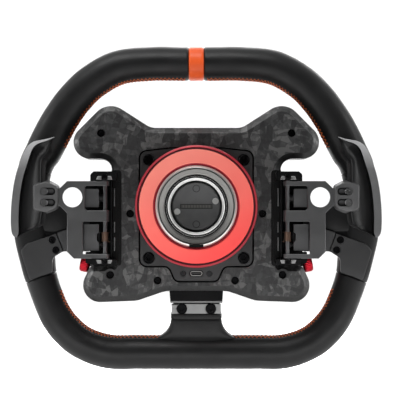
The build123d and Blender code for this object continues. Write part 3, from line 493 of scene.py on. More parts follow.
MATERIALS = {
    "leather": leather("Leather_black", grey(0.006, 0.0062), grey(0.0105, 0.0108)),
    "band": leather("Leather_orange", (0.72, 0.09, 0.018), (0.86, 0.13, 0.03), 0.36),
    "shell": moulded("Grip_moulding", grey(0.008, 0.0083), 0.48, Specular_IOR_Level=0.22),
    "rim_core": blasted("Core_metal", grey(0.3, 0.31), 0.4),
    "side_plate": blasted("Side_plate_metal", grey(0.082, 0.083), 0.42),
    "bottom_plate": blasted("Bottom_plate_metal", grey(0.36), 0.38),
    # the last colour is the painted highlight on the lower arm's bevel
    "frame": frame_finish("Frame_metal", grey(0.014, 0.0145), grey(0.09, 0.092), grey(0.27)),
    "carbon": carbon("Forged_carbon"),
    "black_screw": blasted("Black_oxide", grey(0.014, 0.015), 0.25, 1.0, 9000.0),
    "blade_screw": blasted("Blade_screw_steel", grey(0.24, 0.242), 0.28, 1.0, 9000.0),
    "board": board_finish(),
    "adapter": blasted("Adapter_metal", grey(0.08, 0.081), 0.42),
    "hub": turned("Hub_turned", (0.60, 0.59, 0.57)),
    "steel": blasted("Plain_steel", grey(0.62), 0.26),
    "pin": blasted("Hinge_pin_steel", grey(0.20, 0.205), 0.3),
    "port": port_finish("Port_metal", grey(0.5, 0.49), grey(0.01), grey(0.10)),
    "contact": contact_face("Contact_plastic", grey(0.09, 0.092), grey(0.008),
                            (0.09, 0.088, 0.08)),
    "small_screw": small_screw_finish("Small_screw_steel", grey(0.7, 0.69), grey(0.05, 0.052)),
    # the second colour is the painted highlight on the collar's upper left
    "ring": anodised_ring("Ring_red", (0.94, 0.07, 0.065), (1.0, 0.27, 0.215), (0.33, 0.010, 0.022),
                          (0.06, 0.0, 0.003)),
    "race": blasted("Socket_race", grey(0.86, 0.85), 0.2),
    "seal": moulded("Socket_seal", grey(0.004), 0.5, Specular_IOR_Level=0.15),
    "bracket": blasted("Bracket_metal", grey(0.018, 0.0185), 0.36),
    "arm": blasted("Arm_metal", grey(0.13, 0.132), 0.42),
    "magnet": moulded("Magnet_housing", grey(0.07, 0.072), 0.45),
    "blade": moulded("Blade_plastic", grey(0.006, 0.0063), 0.36, 3800.0, 0.00007, Specular_IOR_Level=0.22),
    "spring": blasted("Spring_wire", (0.15, 0.095, 0.07), 0.3),
    "clamp": blasted("Clamp_steel", grey(0.42), 0.3),
    "rubber": moulded("Control_rubber", grey(0.018, 0.019), 0.6),
    "red_button": moulded("Button_red", (0.5, 0.018, 0.018), 0.32),
    "grey_button": moulded("Button_grey", grey(0.16, 0.165), 0.36),
    "roller": blasted("Roller_red", (0.55, 0.02, 0.035), 0.26, 1.0, 7000.0, 0.00002),
    "housing": moulded("Switch_housing", grey(0.02, 0.021), 0.5),
    "thread": moulded("Orange_thread", (0.62, 0.12, 0.02), 0.6),
    # the second colour is the painted light towards the blade's tip
    "strip": strip_finish("Blade_grip_strip", grey(0.085, 0.087), grey(0.30, 0.305)),
    "pad": moulded("Blade_pad", grey(0.065, 0.066), 0.45, 3800.0, 0.00007),
}

NODES_BY_FINISH = {
    "leather": "grip_upper_left grip_upper_right grip_lower", "band": "centre_band",
    "shell": "side_shell_left side_shell_right", "rim_core": "rim_core", "side_plate": "rim_side_plates",
    "bottom_plate": "rim_bottom_plate", "frame": "centre_frame", "carbon": "rear_cover front_cover",
    "black_screw": "rim_screws cover_screws adapter_screws pin_screws", "board": "main_board",
    "adapter": "adapter_plate", "hub": "hub_body", "steel": "lock_balls", "contact": "contact_block",
    "small_screw": "small_screws", "port": "usb_socket", "bracket": "button_bezels paddle_brackets",
    "pin": "hinge_pins", "magnet": "magnet_blocks", "spring": "paddle_springs", "ring": "release_ring",
    "housing": "joystick_housings", "arm": "paddle_arm_left paddle_arm_right",
    "blade": "paddle_blade_left paddle_blade_right", "blade_screw": "blade_screws_left blade_screws_right",
    "rubber": "dial_centre dial_left dial_right", "roller": "thumb_roller_left thumb_roller_right",
}
FINISHES = {name: finish for finish, names in NODES_BY_FINISH.items() for name in names.split()}


def finish_of(name):
    if name.startswith("button_") and name != "button_bezels":
        return "red_button" if name in ("button_01", "button_06") else "grey_button"
    if name.startswith("joystick_") and name != "joystick_housings":
        return {"shaft": "steel", "knob": "rubber"}.get(name.split("_")[-1], "bracket")
    return FINISHES[name]


SHARP_ANGLE = radians(32)
EDGE_ROUND = {
    "rear_cover": 0.5, "front_cover": 0.35, "adapter_plate": 0.45, "rim_side_plates": 0.25,
    "rim_bottom_plate": 0.25, "centre_frame": 0.3, "paddle_brackets": 0.3, "magnet_blocks": 0.4,
    "side_shell_left": 0.6, "side_shell_right": 0.6, "paddle_arm_left": 0.25, "paddle_arm_right": 0.25,
    "hub_body": 0.15, "release_ring": 0.2, "contact_block": 0.15,
}


def dress_nodes():
    """Gives each CAD node its finish, smooth shading between sharp edges, and lightly rounded edges."""
    for name, obj in nodes.items():
        obj.data.materials.clear()
        obj.data.materials.append(MATERIALS[finish_of(name)])
        for polygon in obj.data.polygons:
            polygon.material_index = 0
            polygon.use_smooth = True
        obj.data.set_sharp_from_angle(angle=SHARP_ANGLE)
        if name in EDGE_ROUND:
            bevel = obj.modifiers.new("Edges", "BEVEL")
            bevel.width = EDGE_ROUND[name] * MM
            bevel.segments = 2
            bevel.limit_method = "ANGLE"
            bevel.angle_limit = SHARP_ANGLE
            bevel.harden_normals = True


# ---------------------------------------------------------------- mesh helpers, in millimetres


def distance_along(points):
    return np.concatenate([[0], np.cumsum(np.linalg.norm(np.diff(points, axis=0), axis=1))])


def unit_rows(rows):
    return rows / np.linalg.norm(rows, axis=1)[:, None]


def smooth_rows(points, spacing):
    """Evenly spaced rows on a smooth curve through the points. Values after the first two ride along."""
    points = np.array(points, float)
    before = np.vstack([2 * points[0] - points[1], points[:-1]])
    after = np.vstack([points[1:], 2 * points[-1] - points[-2]])
    slope = (after - before) / 2
    dense = []
    for i in range(len(points) - 1):
        for t in np.linspace(0, 1, 24, endpoint=False):
            start, end = points[i], points[i + 1]
            dense.append(
                (2 * t**3 - 3 * t**2 + 1) * start + (t**3 - 2 * t**2 + t) * slope[i]
                + (3 * t**2 - 2 * t**3) * end + (t**3 - t**2) * slope[i + 1]
            )
    dense = np.array(dense + [points[-1]])
    reach = distance_along(dense[:, :2])
    at = np.linspace(0, reach[-1], max(2, int(round(reach[-1] / spacing)) + 1))
    return np.column_stack([np.interp(at, reach, column) for column in dense.T])


def bell(distance, width):
    return np.exp(-((distance / width) ** 2))


def smoothstep(value):
    value = np.clip(value, 0.0, 1.0)
    return value * value * (3 - 2 * value)


def new_object(name, points, faces, finish, sharp=None):
    """Mesh object from points in millimetres, smooth shaded, with all faces turned outward."""
    mesh = bpy.data.meshes.new(name)
    mesh.from_pydata((np.asarray(points) * MM).tolist(), [], [list(face) for face in faces])
    work = bmesh.new()
    work.from_mesh(mesh)
    bmesh.ops.recalc_face_normals(work, faces=work.faces)
    work.to_mesh(mesh)
    work.free()
    mesh.polygons.foreach_set("use_smooth", [True] * len(mesh.polygons))
    if sharp:
        mesh.set_sharp_from_angle(angle=radians(sharp))
    obj = linked(bpy.data.objects.new(name, mesh))
    obj.data.materials.append(MATERIALS[finish])
    return obj


SIDES = ("right", "left")


def sided(points, side):
    """Points of the right side as they are, or mirrored for the left."""
    return np.asarray(points) * np.array([-1.0 if side == "left" else 1.0, 1.0, 1.0])


def add_piece(obj, body, slot, *stands_for):
    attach(obj, body)
    if stands_for:
        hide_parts(*stands_for)
    return obj


def add_pair(name, points, faces, finish, body, slot, stands_for=(), sharp=None):
    """The same piece on the right and, mirrored, on the left. Names with {} get the side."""
    made = []
    for side in SIDES:
        obj = new_object(f"{name}_{side}", sided(points, side), faces, finish, sharp)
        replaced = [node_name.format(side) for node_name in stands_for]
        made.append(add_piece(obj, body.format(side), slot, *replaced))
    return made


def tube_faces(rows, around, capped=True):
    """Faces of a tube of rows of points, with both ends capped or left open."""
    faces = []
    for row in range(rows - 1):
        low, high = row * around, (row + 1) * around
        for k in range(around):
            after = (k + 1) % around
            faces.append((low + k, low + after, high + after, high + k))
    if capped:
        faces.append(tuple(range(around)))
        faces.append(tuple(reversed(range((rows - 1) * around, rows * around))))
    return faces


ODD_DIRECTION = (0.31, 0.87, 0.38)
BACK = np.array([0.0, -1.0, 0.0])


def round_tube(path, radius, around=8):
    """Points and faces of a round tube along a path; the radius may be one number or one per row."""
    path = np.asarray(path, float)
    radii = np.broadcast_to(radius, len(path))
    along = unit_rows(np.gradient(path, axis=0))
    side = unit_rows(np.cross(along, ODD_DIRECTION))
    up = np.cross(along, side)
    points = []
    for k in range(around):
        angle = 2 * pi * k / around
        points.append(path + (side * cos(angle) + up * sin(angle)) * radii[:, None])
    points = np.stack(points, axis=1).reshape(-1, 3)
    return points, tube_faces(len(path), around)


def joined(shapes):
    """Several (points, faces) as one."""
    all_points, all_faces, base = [], [], 0
    for points, faces in shapes:
        all_points.append(points)
        all_faces += [tuple(base + i for i in face) for face in faces]
        base += len(points)
    return np.vstack(all_points), all_faces


# ---------------------------------------------------------------- leather rim

RIM_MID = 47.0
RIM_LINE = [  # centre line down the right side: x, z, width across, depth along Y
    (6.2, 116.1, 27.7, 31), (37.7, 116.1, 27.7, 31), (63.8, 112.8, 28.3, 31), (85.4, 100.8, 28.6, 31),
    (99.3, 87.1, 29.0, 31), (109.6, 72.8, 29.6, 31), (116.7, 60.2, 30.2, 30), (123.9, 45.7, 29.8, 28.5),
    (131.8, 28.5, 27.4, 27), (136.0, -1.3, 27.7, 26), (133.5, -23.3, 29.0, 26),
    (129.5, -42.1, 28.4, 26.5), (126.8, -56.0, 26.4, 27.5), (122.4, -70.0, 25.6, 28.5),
    (115.3, -87.0, 26.2, 30), (106.0, -100.0, 27.0, 31), (91.9, -111.3, 27.4, 31),
    (71.2, -118.2, 28.0, 31), (45.9, -118.7, 28.0, 31), (0.0, -118.7, 28.0, 31),
]
UPPER_END = [(105.0, 24.2), (160.0, 33.0)]
LOWER_END = [(105.0, -49.5), (160.0, -69.85)]
ROW_STEP = 0.8
TUCK_LENGTH = 26.0
GRIP_R = 15.0
SEAM_ANGLE = radians(15)
SEAM_REACH = 3.1
SEAM_OFFSETS = (-4.6, -4.0, -3.6, -3.3, -3.1, -2.8, -2.4, -1.9, -1.4, -0.9, -0.5, -0.25, 0,
                0.25, 0.5, 0.9, 1.4, 1.9, 2.4, 2.8, 3.1, 3.3, 3.6, 4.0, 4.6)
STITCH_PITCH = 3.3
THREAD_R = 0.36


def section_angles():
    """Angles round the grip from the inside of the rim towards the back, closer together at the seam."""
    near = SEAM_ANGLE + np.array(SEAM_OFFSETS) / GRIP_R
    even = np.linspace(-pi, pi, 76, endpoint=False)
    return np.sort(np.concatenate([even[(even < near[0] - 0.03) | (even > near[-1] + 0.03)], near]))


def above_line(rows, line):
    """How far each row lies above the line, or below it if less than 0."""
    (x_in, z_in), (x_out, z_out) = line
    above = (x_out - x_in) * (rows[:, 1] - z_in) - (z_out - z_in) * (rows[:, 0] - x_in)
    return above / hypot(x_out - x_in, z_out - z_in)


def trimmed(rows, end):
    """Drops the rows past the line where the grip ends."""
    past = above_line(rows, end)
    return rows[past > 0 if end is UPPER_END else past < 0]


def rim_frame(rows, ends):
    """Centres, inward directions, half sizes and distance along for each row. Near an end in ends
    (row index, line) the section turns until it lies along that line."""
    centre = np.column_stack([rows[:, 0], np.full(len(rows), RIM_MID), rows[:, 1]])
    along = unit_rows(np.gradient(centre, axis=0))
    inward = np.column_stack([-along[:, 2], np.zeros(len(rows)), along[:, 0]])
    inward *= np.sign(np.sum(inward * -centre * [1, 0, 1], axis=1))[:, None]
    reach = distance_along(centre)
    half = rows[:, 2] / 2
    for index, line, mirror_x in ends:
        (x_in, z_in), (x_out, z_out) = line
        target = np.array([(x_in - x_out) * mirror_x, 0, z_in - z_out])
        target /= np.linalg.norm(target)
        share = smoothstep(1 - np.abs(reach - reach[index]) / TUCK_LENGTH)[:, None]
        turned_in = unit_rows(inward * (1 - share) + target * share)
        half = half / np.abs(np.sum(turned_in * inward, axis=1))
        inward = turned_in
    return centre, inward, half, rows[:, 3] / 2, reach


def leather_relief(reach, angle, seam_from, seam_to):
    """Height of the leather over the plain section at its seam: the groove, its rolls and its holes."""
    offset = (angle - SEAM_ANGLE) * GRIP_R
    inside = smoothstep((reach - seam_from) / 4) * smoothstep((seam_to - reach) / 4)
    phase = (reach - seam_from) / STITCH_PITCH
    hole = bell(phase - np.round(phase), 0.16)
    relief = -0.75 * bell(offset, 0.42) + 0.22 * bell(np.abs(offset) - 1.5, 0.9)
    relief -= 0.35 * bell(np.abs(offset) - SEAM_REACH, 0.4) * hole
    return relief * inside


UNEVEN, UNEVEN_PER_MM = 0.16, 0.045
SUNK = 0.15
CREASE, CREASE_PER_MM = 0.16, (0.30, 0.15)
TIGHT, TIGHT_LENGTH = 0.9, 1.6


def grip_skin(rows, ends, seam_spans, tight_ends, seed):
    """Swept leather tube: closed mesh, plus a function that gives surface points for the stitches."""
    centre, inward, half, deep, reach = rim_frame(rows, ends)
    angles = section_angles()
    turn_in, turn_back = np.cos(angles)[:, None], np.sin(angles)[:, None]
    heading = np.unwrap(np.arctan2(inward[:, 2], inward[:, 0]))
    bend = np.clip(np.abs(np.gradient(heading, reach)) * 60, 0, 1)

    def surface(position, angle, out=0.0):
        c = np.array([np.interp(position, reach, centre[:, k]) for k in range(3)])
        n = np.array([np.interp(position, reach, inward[:, k]) for k in range(3)])
        n /= np.linalg.norm(n)
        a, b = np.interp(position, reach, half), np.interp(position, reach, deep)
        normal = n * cos(angle) / a + BACK * sin(angle) / b
        return c + n * a * cos(angle) + BACK * b * sin(angle) + normal / np.linalg.norm(normal) * out

    points = np.zeros((len(rows), len(angles), 3))
    for i in range(len(rows)):
        normal = unit_rows(inward[i] * turn_in / half[i] + BACK * turn_back / deep[i])
        place = centre[i] + inward[i] * turn_in * half[i] + BACK * turn_back * deep[i]
        soft = np.array([noise.noise(Vector(p) * UNEVEN_PER_MM + Vector((seed, 0, 0))) for p in place])
        first, last = [reach[i] * share for share in CREASE_PER_MM]
        crease = np.array([noise.noise(Vector((first + seed, 3.0 * a, last))) for a in angles])
        relief = sum(leather_relief(reach[i], angles, *span) for span in seam_spans)
        relief = relief + UNEVEN * soft - SUNK
        relief += CREASE * bend[i] * smoothstep(np.cos(angles) + 0.2) * crease
        for end_reach in tight_ends:
            relief -= TIGHT * (1 - smoothstep(abs(reach[i] - end_reach) / TIGHT_LENGTH)) ** 1.5
        points[i] = place + normal * relief[:, None]
    return points.reshape(-1, 3), tube_faces(len(rows), len(angles)), surface


def stitches(surface, start, end):
    """Crossed stitches over the seam, each leg a short length of thread that dives into its holes."""
    legs = []
    count = int((end - start) / STITCH_PITCH)
    for k in range(count):
        for first, last, lift in ((-1, 1, 0.5), (1, -1, 0.85)):
            path = []
            for t in np.linspace(0, 1, 9):
                position = start + (k + t) * STITCH_PITCH
                angle = SEAM_ANGLE + (first + (last - first) * t) * SEAM_REACH / GRIP_R
                path.append(surface(position, angle, lift * sin(pi * t) ** 0.6 - 0.45))
            legs.append(round_tube(path, THREAD_R * (0.72 + 0.28 * np.sin(np.linspace(0, pi, 9))), 7))
    return joined(legs)


UPPER_SEAM_END = 52.4
LOWER_SEAM_START = 13.0
BLOCK_HALF = 27.5


def seam_end(rows):
    """Distance along the upper grip at which its seam goes behind the paddle."""
    return float(np.interp(-UPPER_SEAM_END, -rows[:, 1], distance_along(rows[:, :2])))


def upper_grips(right):
    """The two upper grips, with their stitching."""
    rows = trimmed(right[right[:, 1] > 0], UPPER_END)
    points, faces, surface = grip_skin(rows, [(-1, UPPER_END, 1)], [(2.0, seam_end(rows))], [0.0], 3.0)
    grips = add_pair("grip_upper_skin", points, faces, "leather", "wheel", "leather", ["grip_upper_{}"])
    add_pair("stitches_upper", *stitches(surface, 2.6, seam_end(rows) - 1), "thread", "wheel", "band")


def lower_grip(right):
    """The lower grip with the leather-covered block over the bottom arm, and its stitching."""
    half = trimmed(right[right[:, 1] < 0], LOWER_END)
    rows = np.vstack([half, half[-2::-1] * np.array([-1, 1, 1, 1])])
    length = distance_along(rows[:, :2])[-1]
    spans = [(LOWER_SEAM_START, length / 2 - BLOCK_HALF),
             (length / 2 + BLOCK_HALF, length - LOWER_SEAM_START)]
    ends = [(0, LOWER_END, 1), (-1, LOWER_END, -1)]
    points, faces, surface = grip_skin(rows, ends, spans, [], 11.0)
    skin = new_object("grip_lower_skin", *joined([(points, faces), bottom_block()]), "leather")
    add_piece(skin, "wheel", "leather", "grip_lower")
    runs = [stitches(surface, first + 0.6, last - 0.6) for first, last in spans]
    add_piece(new_object("stitches_lower", *joined(runs), "thread"), "wheel", "band")


def top_band():
    """Coloured band at twelve o'clock, a little proud of the grips and drawn in at its ends."""
    x, z, width, depth = RIM_LINE[0]
    rows = np.array([(at, z, width + 0.1, depth + 0.1) for at in np.linspace(-x + 0.1, x - 0.1, 17)])
    points, faces, _ = grip_skin(rows, [], [], [0.0, 2 * x - 0.2], 5.0)
    band = add_piece(new_object("centre_band_skin", points, faces, "band"), "wheel", "band", "centre_band")


def leather_rim():
    right = smooth_rows(RIM_LINE, ROW_STEP)
    upper_grips(right)
    lower_grip(right)
    top_band()


BLOCK_ROWS = [  # z, half width, half depth, squareness
    (-86.9, 19.9, 12.9, 14.0), (-86.5, 20.3, 13.5, 14.0), (-86.9, 20.6, 13.9, 14.0),
    (-90.2, 20.6, 13.9, 13.0), (-90.9, 20.2, 13.2, 12.0), (-91.8, 20.5, 13.8, 11.0),
    (-95.0, 21.0, 13.8, 9.0), (-98.5, 22.4, 13.6, 7.0), (-101.6, 24.6, 13.3, 5.6),
    (-104.0, 27.6, 12.8, 4.6), (-105.8, 31.0, 12.0, 3.8), (-107.2, 36.5, 10.8, 3.0),
    (-110.0, 36.0, 9.6, 2.6), (-116.0, 30.0, 8.0, 2.2),
]


def squared(angle, square):
    """Cosine and sine of a rounded rectangle: squareness 2 gives a circle, more gives squarer corners."""
    c, s = cos(angle), sin(angle)
    size = (abs(c) ** square + abs(s) ** square) ** (-1 / square)
    return c * size, s * size


def bottom_block():
    """Leather drawn over the end of the bottom arm, flaring into the rim."""
    around = 72
    rows = smooth_block_rows()
    points = []
    for z, half, deep, square in rows:
        for k in range(around):
            c, s = squared(2 * pi * k / around, square)
            points.append((half * c, RIM_MID - deep * s, z))
    return np.array(points), tube_faces(len(rows), around)


def smooth_block_rows():
    rows = np.array(BLOCK_ROWS)
    rows = [a + (b - a) * t for a, b in zip(rows, rows[1:]) for t in np.linspace(0, 1, 4, endpoint=False)]
    rows = np.array([*rows, BLOCK_ROWS[-1]])
    for _ in range(2):
        rows[1:-1] = (rows[:-2] + 2 * rows[1:-1] + rows[2:]) / 4
    return rows


# ---------------------------------------------------------------- paddle blades

BLADE_EDGES = [  # outer edge x, z, then the inner ridge x, z, from the tip to the bottom corner
    (111.6, 54.8, 111.9, 53.7), (116.5, 53.5, 113.5, 51.6), (122.0, 52.5, 114.9, 48.8),
    (128.4, 51.3, 116.1, 43.4), (133.4, 48.2, 119.0, 39.6), (137.0, 42.6, 121.9, 36.2),
    (140.3, 35.0, 122.5, 29.4), (143.1, 27.0, 122.6, 21.7), (145.2, 18.0, 122.2, 15.0),
    (146.6, 8.4, 121.4, 8.0), (147.4, -0.4, 120.9, 0.4), (147.7, -8.6, 122.2, -6.4),
    (147.6, -15.4, 123.9, -14.2), (147.0, -20.6, 130.4, -18.2), (145.4, -23.8, 137.0, -21.4),
    (143.0, -24.7, 141.4, -23.9),
]
STRIP_WIDTH = [1.2, 2.2, 3.0, 3.8, 4.8, 5.8, 6.4, 6.5, 6.5, 6.5, 6.5, 6.5, 6.4, 6.0, 4.0, 1.2]
PAD_OUTLINE = [
    (127.8, 16.4), (124.6, 17.6), (120.7, 18.8), (116.4, 19.2), (109.8, 15.8), (109.0, 13.4), (109.0, 2.2),
    (110.6, -1.2), (118.1, -4.4), (123.4, -3.4), (127.8, -2.4),
]
PAD_REAR = 4.9
PAD_FRONT = 8.5
PAD_CORNER = 2.2
PAD_LAYERS = [  # inset, depth, from the front to the rounded rear edge
    (-1.4, PAD_FRONT + 4.0), (-0.5, PAD_FRONT), (-0.15, PAD_REAR + 1.6), (0, PAD_REAR + 0.8),
    (0.25, PAD_REAR + 0.25), (0.8, PAD_REAR),
]
SLOTS = (11.8, 3.0)
SLOT_X = (113.8, 119.7)
SLOT_STEPS = [  # radius, rear, front: the seat for the screw's head, then the slot through
    (3.0, PAD_REAR - 1, PAD_REAR + 1.8), (1.7, PAD_REAR, PAD_FRONT + 6),
]


def wing_depth(x):
    """Depth of the wing's rear face at that x: level with the pad inside, swept away outside."""
    return 6.4 + 12.4 * float(smoothstep((x - 113.0) / 34.0))


def blade_section(outer, ridge, strip):
    """Closed section of the wing: outer edge, hollow, inner lip and front."""
    outer, ridge = np.array(outer, float), np.array(ridge, float)
    across = ridge - outer
    width = float(np.linalg.norm(across))
    across /= width
    size = min(1.0, width / 14.0)
    strip = min(strip, width * 0.42)

    def at(distance, lift):
        x, z = outer + across * distance
        return (x, wing_depth(x) + lift, z)

    floor = 2.7 * size
    edge = [at(0.5, 3.4 * size + 0.6), at(0.0, 1.0), at(0.35, 0.1), at(strip * 0.5, -0.5 * size)]
    hollow = [
        at(strip, -1.0 * size), at(strip + 0.5 * size, -0.2), at(strip + 1.1 * size, floor),
        at((strip + width) * 0.5, floor + 0.7 * size), at(width - 2.4 * size, floor * 0.9),
    ]
    lip = [(-0.7, -0.6), (-0.2, -1.3), (0.25, -1.3), (1.0, 0.6), (3.6, 3.6), (3.3, 4.6)]
    front = [at(width * 0.6, 5.6 * size + 0.4), at(width * 0.25, 4.9 * size + 0.6)]
    return edge + hollow + [at(width + past * size, lift * size) for past, lift in lip] + front


def blade_wing():
    """Wing of the blade: a lipped, hollowed leaf from the tip to the bottom corner."""
    rows = smooth_rows(np.column_stack([BLADE_EDGES, STRIP_WIDTH]), 1.1)
    sections = np.array([blade_section(row[:2], row[2:4], row[4]) for row in rows])
    return sections.reshape(-1, 3), tube_faces(*sections.shape[:2]), sections.shape[1]


def offset_outline(points, amount):
    """Closed outline moved inward by that amount at each corner."""
    points = np.array(points, float)
    before, after = np.roll(points, 1, axis=0), np.roll(points, -1, axis=0)
    a, b = unit_rows(points - before), unit_rows(after - points)
    normal_a, normal_b = np.column_stack([-a[:, 1], a[:, 0]]), np.column_stack([-b[:, 1], b[:, 0]])
    bisector = unit_rows(normal_a + normal_b)
    lengthen = 1 / np.clip(np.sum(bisector * normal_a, axis=1), 0.5, 1)
    area = np.sum(points[:, 0] * after[:, 1] - after[:, 0] * points[:, 1])
    return points + bisector * (amount * lengthen * np.sign(area))[:, None]


def rounded(points, radius, steps=5):
    """Closed outline with its corners rounded."""
    points = np.array(points, float)
    out = []
    for i, corner in enumerate(points):
        to_before = points[i - 1] - corner
        to_after = points[(i + 1) % len(points)] - corner
        reach = min(radius, 0.45 * np.linalg.norm(to_before), 0.45 * np.linalg.norm(to_after))
        start = corner + to_before / np.linalg.norm(to_before) * reach
        end = corner + to_after / np.linalg.norm(to_after) * reach
        for t in np.linspace(0, 1, steps):
            out.append((1 - t) ** 2 * start + 2 * t * (1 - t) * corner + t * t * end)
    return np.array(out)


def stacked(layers):
    """Closed solid through outlines at given depths: layers is a list of (outline, depth)."""
    around = len(layers[0][0])
    points = [(x, y, z) for outline, y in layers for x, z in outline]
    return np.array(points), tube_faces(len(layers), around)


def slot_outline(x0, x1, z, radius, steps=14):
    ends = []
    for centre, start in ((x1, -pi / 2), (x0, pi / 2)):
        for t in np.linspace(0, pi, steps):
            ends.append((centre + radius * cos(start + t), z + radius * sin(start + t)))
    return np.array(ends)


def cut(obj, *tools):
    """Cuts the tools, given as (points, faces), out of the object."""
    for points, faces in tools:
        tool = new_object("Cutter", points, faces, "housing")
        step = obj.modifiers.new("Cut", "BOOLEAN")
        step.operation, step.object, step.solver = "DIFFERENCE", tool, "EXACT"
        graph = bpy.context.evaluated_depsgraph_get()
        result = bpy.data.meshes.new_from_object(obj.evaluated_get(graph))
        obj.modifiers.clear()
        obj.data = result
        bpy.data.objects.remove(tool)


def blade_pad():
    """Raised pad that clamps the blade to the arm, with softly rounded edges."""
    plain = rounded(PAD_OUTLINE, PAD_CORNER)
    return stacked([(offset_outline(plain, inset), depth) for inset, depth in PAD_LAYERS])


def blades():
    """Finger blades with their adjustment slots."""
    wing_points, wing_faces, around = blade_wing()
    pad_points, pad_faces = blade_pad()
    tools = []
    for z in SLOTS:
        for radius, rear, front in SLOT_STEPS:
            outline = slot_outline(*SLOT_X, z, radius)
            tools.append(stacked([(outline, rear), (outline, front)]))
    for side in SIDES:
        wing = new_object(f"blade_wing_{side}", sided(wing_points, side), wing_faces, "blade", 48)
        strip_faces(wing, around)
        pad = new_object(f"blade_pad_{side}", sided(pad_points, side), pad_faces, "pad", 40)
        for obj in (wing, pad):
            cut(obj, *[(sided(points, side), faces) for points, faces in tools])
            if obj is pad:
                paint_slot_shade(pad)
            obj.data.set_sharp_from_angle(angle=radians(42))
            add_piece(obj, f"paddle_{side}", "blade_plastic", f"paddle_blade_{side}")


SLOT_REACH = 3.1


def paint_slot_shade(pad):
    """Gives the walls and floors of the pad's slots the darker blade finish, as painted shade."""
    # painted shade: slot walls and floors take the near-black blade finish
    pad.data.materials.append(MATERIALS["blade"])
    for face in pad.data.polygons:
        x, y, z = face.center / MM
        across = SLOT_X[0] - SLOT_REACH < abs(x) < SLOT_X[1] + SLOT_REACH
        if across and y > PAD_REAR + 0.1 and min(abs(z - slot) for slot in SLOTS) < SLOT_REACH:
            face.material_index = 1


STRIP_COLUMNS = (1, 2, 3)


def strip_faces(wing, around):
    """Gives the outer strip of the wing its own grippy finish."""
    wing.data.materials.append(MATERIALS["strip"])
    for face in wing.data.polygons:
        first, second = face.vertices[0], face.vertices[1]
        across_rows = len(face.vertices) == 4 and first // around != face.vertices[2] // around
        if across_rows and min(first % around, second % around) in STRIP_COLUMNS:
            face.material_index = 1


# ---------------------------------------------------------------- side grips

SIDE_SQUARENESS = 3.0
SIDE_DEPTH = 12.9
SEAM_TUCK = 2.6
SEAM_DROP = 1.3
PLATE_SEAT = [
    (112.9, -21.9), (136.6, -30.0), (141.6, -36.0), (134.0, -59.7), (116.4, -53.2), (116.0, -41.6),
    (107.2, -36.0),
]
PLATE_GAP = 0.45
SPOKE_FRONT = [
    (84.8, -2.4), (103.5, -2.4), (112.0, 1.8), (119.0, 6.5), (128.0, 10.0), (131.0, -15.0), (128.0, -46.0),
    (117.5, -44.0), (114.0, -38.0), (105.0, -35.3), (84.8, -35.3),
]
SPOKE_REAR = [
    (100.0, -1.2), (108.0, -0.6), (113.0, 2.2), (119.4, 7.2), (128.0, 10.0), (130.0, -20.0), (113.2, -21.4),
    (100.0, -17.5),
]
SPOKE_FACE = 60.0
SPOKE_SEAM = 50.5


def side_tube():
    """Rim between the leather lengths: flatter at the back than they are, to carry the cover plate."""
    rows = smooth_rows(RIM_LINE, ROW_STEP * 0.75)
    for line, beyond in ((UPPER_END, -1), (LOWER_END, 1)):
        rows = rows[(above_line(rows, line) * beyond >= -SEAM_TUCK) & (rows[:, 0] > 60)]
    ends = [(0, UPPER_END, 1), (-1, LOWER_END, 1)]
    centre, inward, half, deep, reach = rim_frame(rows, ends)
    around = 96
    blend_in = smoothstep(np.minimum(reach, reach[-1] - reach) / 16.0)
    points = []
    for i in range(len(rows)):
        square = 2.0 + (SIDE_SQUARENESS - 2.0) * blend_in[i]
        depth = deep[i] + (SIDE_DEPTH - deep[i]) * blend_in[i]
        edge = min(reach[i], reach[-1] - reach[i])
        inset = SEAM_DROP * (1 - smoothstep((edge - SEAM_TUCK + 0.9) / 1.2))
        for k in range(around):
            c, s = squared(2 * pi * k / around, square)
            points.append(centre[i] + inward[i] * (half[i] - inset) * c + BACK * (depth - inset) * s)
    return np.array(points), tube_faces(len(rows), around)


def spoke_shell():
    """Cover of the side arm on the driver's side, with its thumb rest, and the part that shows behind."""
    front, rear = rounded(SPOKE_FRONT, 5.0), rounded(SPOKE_REAR, 3.0)
    thick = [(0, SPOKE_SEAM), (0, SPOKE_FACE - 4.5), (0.5, SPOKE_FACE - 2.6), (1.6, SPOKE_FACE - 0.9),
             (3.4, SPOKE_FACE)]
    behind = [(1.4, RIM_MID - 10.6), (0.4, RIM_MID - 10.1), (0, RIM_MID - 9.0), (0, SPOKE_SEAM + 1)]
    return [stacked([(offset_outline(outline, inset), depth) for inset, depth in layers])
            for outline, layers in ((rear, behind), (front, thick))]


def side_grips():
    tube_points, tube = side_tube()
    seat = offset_outline(rounded(PLATE_SEAT, 3.0), -PLATE_GAP)
    pocket, pocket_faces = stacked([(seat, RIM_MID - 20), (seat, RIM_MID - 10.0)])
    for side in SIDES:
        grip = new_object(f"side_grip_{side}", sided(tube_points, side), tube, "shell")
        cut(grip, (sided(pocket, side), pocket_faces))
        grip.data.set_sharp_from_angle(angle=radians(40))
        add_piece(grip, "wheel", "shell_plastic", f"side_shell_{side}")
        for number, (points, faces) in enumerate(spoke_shell(), start=1):
            spoke = new_object(f"spoke_shell_{side}_{number}", sided(points, side), faces, "shell", 50)
            add_piece(spoke, "wheel", "shell_plastic", f"side_shell_{side}")


# ---------------------------------------------------------------- springs, rollers and pin clamps

HINGE_X = 72.2
HINGE_Y = 12.6
SPRING_LOW, SPRING_LENGTH = -28.6, 9.0
COIL_R, WIRE_R, COIL_TURNS = 2.55, 0.42, 8


